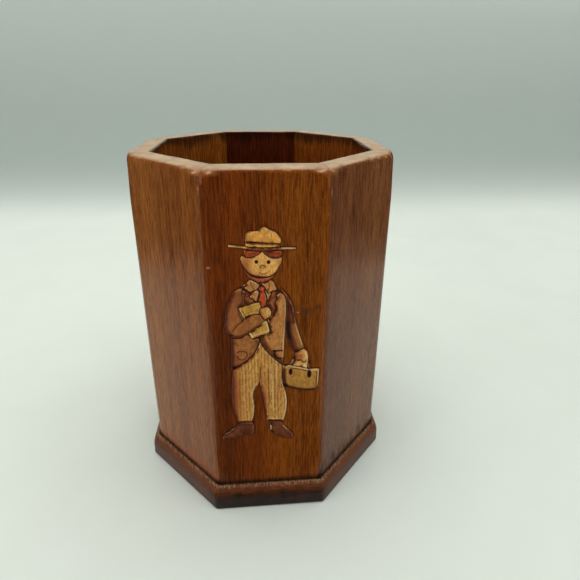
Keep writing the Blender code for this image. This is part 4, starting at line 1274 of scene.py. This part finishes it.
def screw_steel():
    """Yellowish zinc-plated steel, faintly brushed round."""
    nodes = Nodes("screw_steel_zinc")
    swirl = nodes.noise((900, 900, 5200), detail=4)
    spots = nodes.noise((1500, 1500, 1500), detail=4, rough=0.7)
    colour = nodes.mix(nodes.between(swirl, 0.3, 0.7), srgb(170, 160, 130), srgb(205, 190, 140))
    colour = nodes.mix(nodes.between(spots, 0.6, 0.8, 0.0, 0.5), colour, srgb(110, 84, 60))
    nodes.surface(
        Base_Color=colour, Metallic=1.0, Roughness=nodes.between(spots, 0.3, 0.8, 0.28, 0.55),
        Normal=nodes.bump(swirl, 0.02 * MM, 0.4))
    return nodes.material


def dress_cad_nodes():
    """Materials for the CAD nodes that stay as they are: the screws and the floor panel."""
    steel = screw_steel()
    dressed = {"base_screw_%d" % number: steel for number in range(1, 5)}
    dressed["floor_panel"] = floor_wood()
    for name, material in dressed.items():
        materials = frame["nodes"][name].data.materials
        materials.clear()
        materials.append(material)


# ---------------------------------------------------------------- studio


def make_studio():
    """A pale floor that curves up into a grey-green backdrop, behind the cup from turn on, its paper painted
    with shade.
    """
    turn, radius, half_width = 0.30, 0.20, 4.0
    path = [(-1.6, 0.0)] + [(-1.2 + 0.15 * i, 0.0) for i in range(10)]
    path += [(turn + radius * math.sin(a), radius * (1 - math.cos(a)))
             for a in [math.pi / 2 * i / 20 for i in range(21)]]
    path += [(turn + radius, radius + 0.2 + 0.2 * i) for i in range(7)]
    verts = [(x, y, z) for y, z in path for x in (-half_width, half_width)]
    faces = [(2 * i, 2 * i + 1, 2 * i + 3, 2 * i + 2) for i in range(len(path) - 1)]
    mesh = bpy.data.meshes.new("studio_sweep")
    mesh.from_pydata(verts, [], faces)
    mesh.shade_smooth()
    nodes = Nodes("studio_paper")
    x, y, z = nodes.split(nodes.place((1, 1, 1)))
    # Painted shade in the paper: a little darker on the floor to the cup's right, and darker where it turns
    # up into the backdrop, growing paler higher up.
    near = nodes.mix(nodes.between(y, -0.06, 0.12), srgb(225, 230, 222), srgb(226, 231, 223))
    near = nodes.mix(nodes.between(x, 0.02, 0.16, 0.0, 0.10), near, srgb(170, 174, 168))
    wall = nodes.mix(nodes.between(z, 0.05, 0.36), srgb(160, 169, 163), srgb(222, 229, 223))
    paper = nodes.mix(nodes.between(y, 0.23, 0.41), near, wall)
    mottle = nodes.noise((30, 30, 30), detail=4)
    paper = nodes.mix(nodes.between(mottle, 0.35, 0.7, 0.0, 0.06), paper, srgb(180, 186, 178))
    nodes.surface(Base_Color=paper, Roughness=0.8)
    mesh.materials.append(nodes.material)
    floor = add_object("studio_sweep", mesh)


def make_card():
    """Dark cards before and beside the cup, seen only in reflections, which keep its colour deep."""
    mesh = bpy.data.meshes.new("dark_card")
    left, right, out, top = -0.13, 0.15, -0.13, 0.5
    near, wide, low = -0.043, 0.03, 0.0005
    beside, far = 0.19, 0.30
    mesh.from_pydata(
        [(left, out, 0.0), (right, out, 0.0), (right, out, top), (left, out, top),
         (-wide, near, low), (wide, near, low), (1.8 * wide, out, low), (-1.8 * wide, out, low),
         (-beside, out, low), (-beside, far, low), (-beside, far, top), (-beside, out, top),
         (beside, out, low), (beside, far, low), (beside, far, top), (beside, out, top)],
        [], [(0, 1, 2, 3), (4, 5, 6, 7), (8, 9, 10, 11), (12, 13, 14, 15)])
    nodes = Nodes("card_dark")
    nodes.surface(Base_Color=srgb(30, 28, 26), Roughness=0.9)
    mesh.materials.append(nodes.material)
    card = add_object("dark_card", mesh)
    card.visible_camera = False
    card.visible_diffuse = False
    card.visible_shadow = False


def add_light(name, place, target, size, power, colour):
    """A soft square light."""
    lamp = bpy.data.lights.new(name, "AREA")
    lamp.shape = "RECTANGLE"
    lamp.size, lamp.size_y = size
    lamp.energy = power
    lamp.color = colour
    item = add_object(name, lamp)
    item.location = place
    item.rotation_euler = (Vector(target) - Vector(place)).to_track_quat("-Z", "Y").to_euler()


def make_lights():
    """Soft light from above, weaker light from both sides, and a pale world."""
    add_light("light_top", (0.0, 0.10, 1.0), (0, 0, 0), (1.4, 1.2), 8.5, (1.0, 1.0, 0.985))
    add_light("light_left", (-0.85, -0.25, 0.55), (0, 0, 0.05), (0.7, 0.7), 1.5, (1.0, 0.985, 0.96))
    add_light("light_right", (0.85, -0.10, 0.55), (0, 0, 0.05), (0.7, 0.7), 1.2, (0.97, 0.99, 1.0))
    world = bpy.data.worlds.new("studio_world")
    bpy.context.scene.world = world
    world.use_nodes = True
    background = world.node_tree.nodes["Background"]
    background.inputs["Color"].default_value = srgb(200, 204, 200)
    background.inputs["Strength"].default_value = 0.75


def make_camera():
    """The camera, close and a little above the cup's rim."""
    camera = bpy.data.cameras.new("camera")
    camera.sensor_width = 36.0
    camera.lens = 26.708
    camera.shift_x = -0.0006
    camera.shift_y = -0.0883
    camera.clip_start = 0.005
    camera.clip_end = 20
    item = add_object("camera", camera)
    item.location = (-2.41 * MM, -131.46 * MM, 121.25 * MM)
    item.rotation_euler = (1.2087, -0.0068, -0.0819)
    bpy.context.scene.camera = item
    bpy.context.scene.view_settings.view_transform = "Standard"


for item in list(bpy.data.objects):
    if item.type in ("LIGHT", "CAMERA") or item.name == "Cube":
        bpy.data.objects.remove(item, do_unlink=True)
make_camera()
make_staves(make_stave_woods())
make_figure()
make_base()
make_felt()
dress_cad_nodes()
make_studio()
make_card()
make_lights()
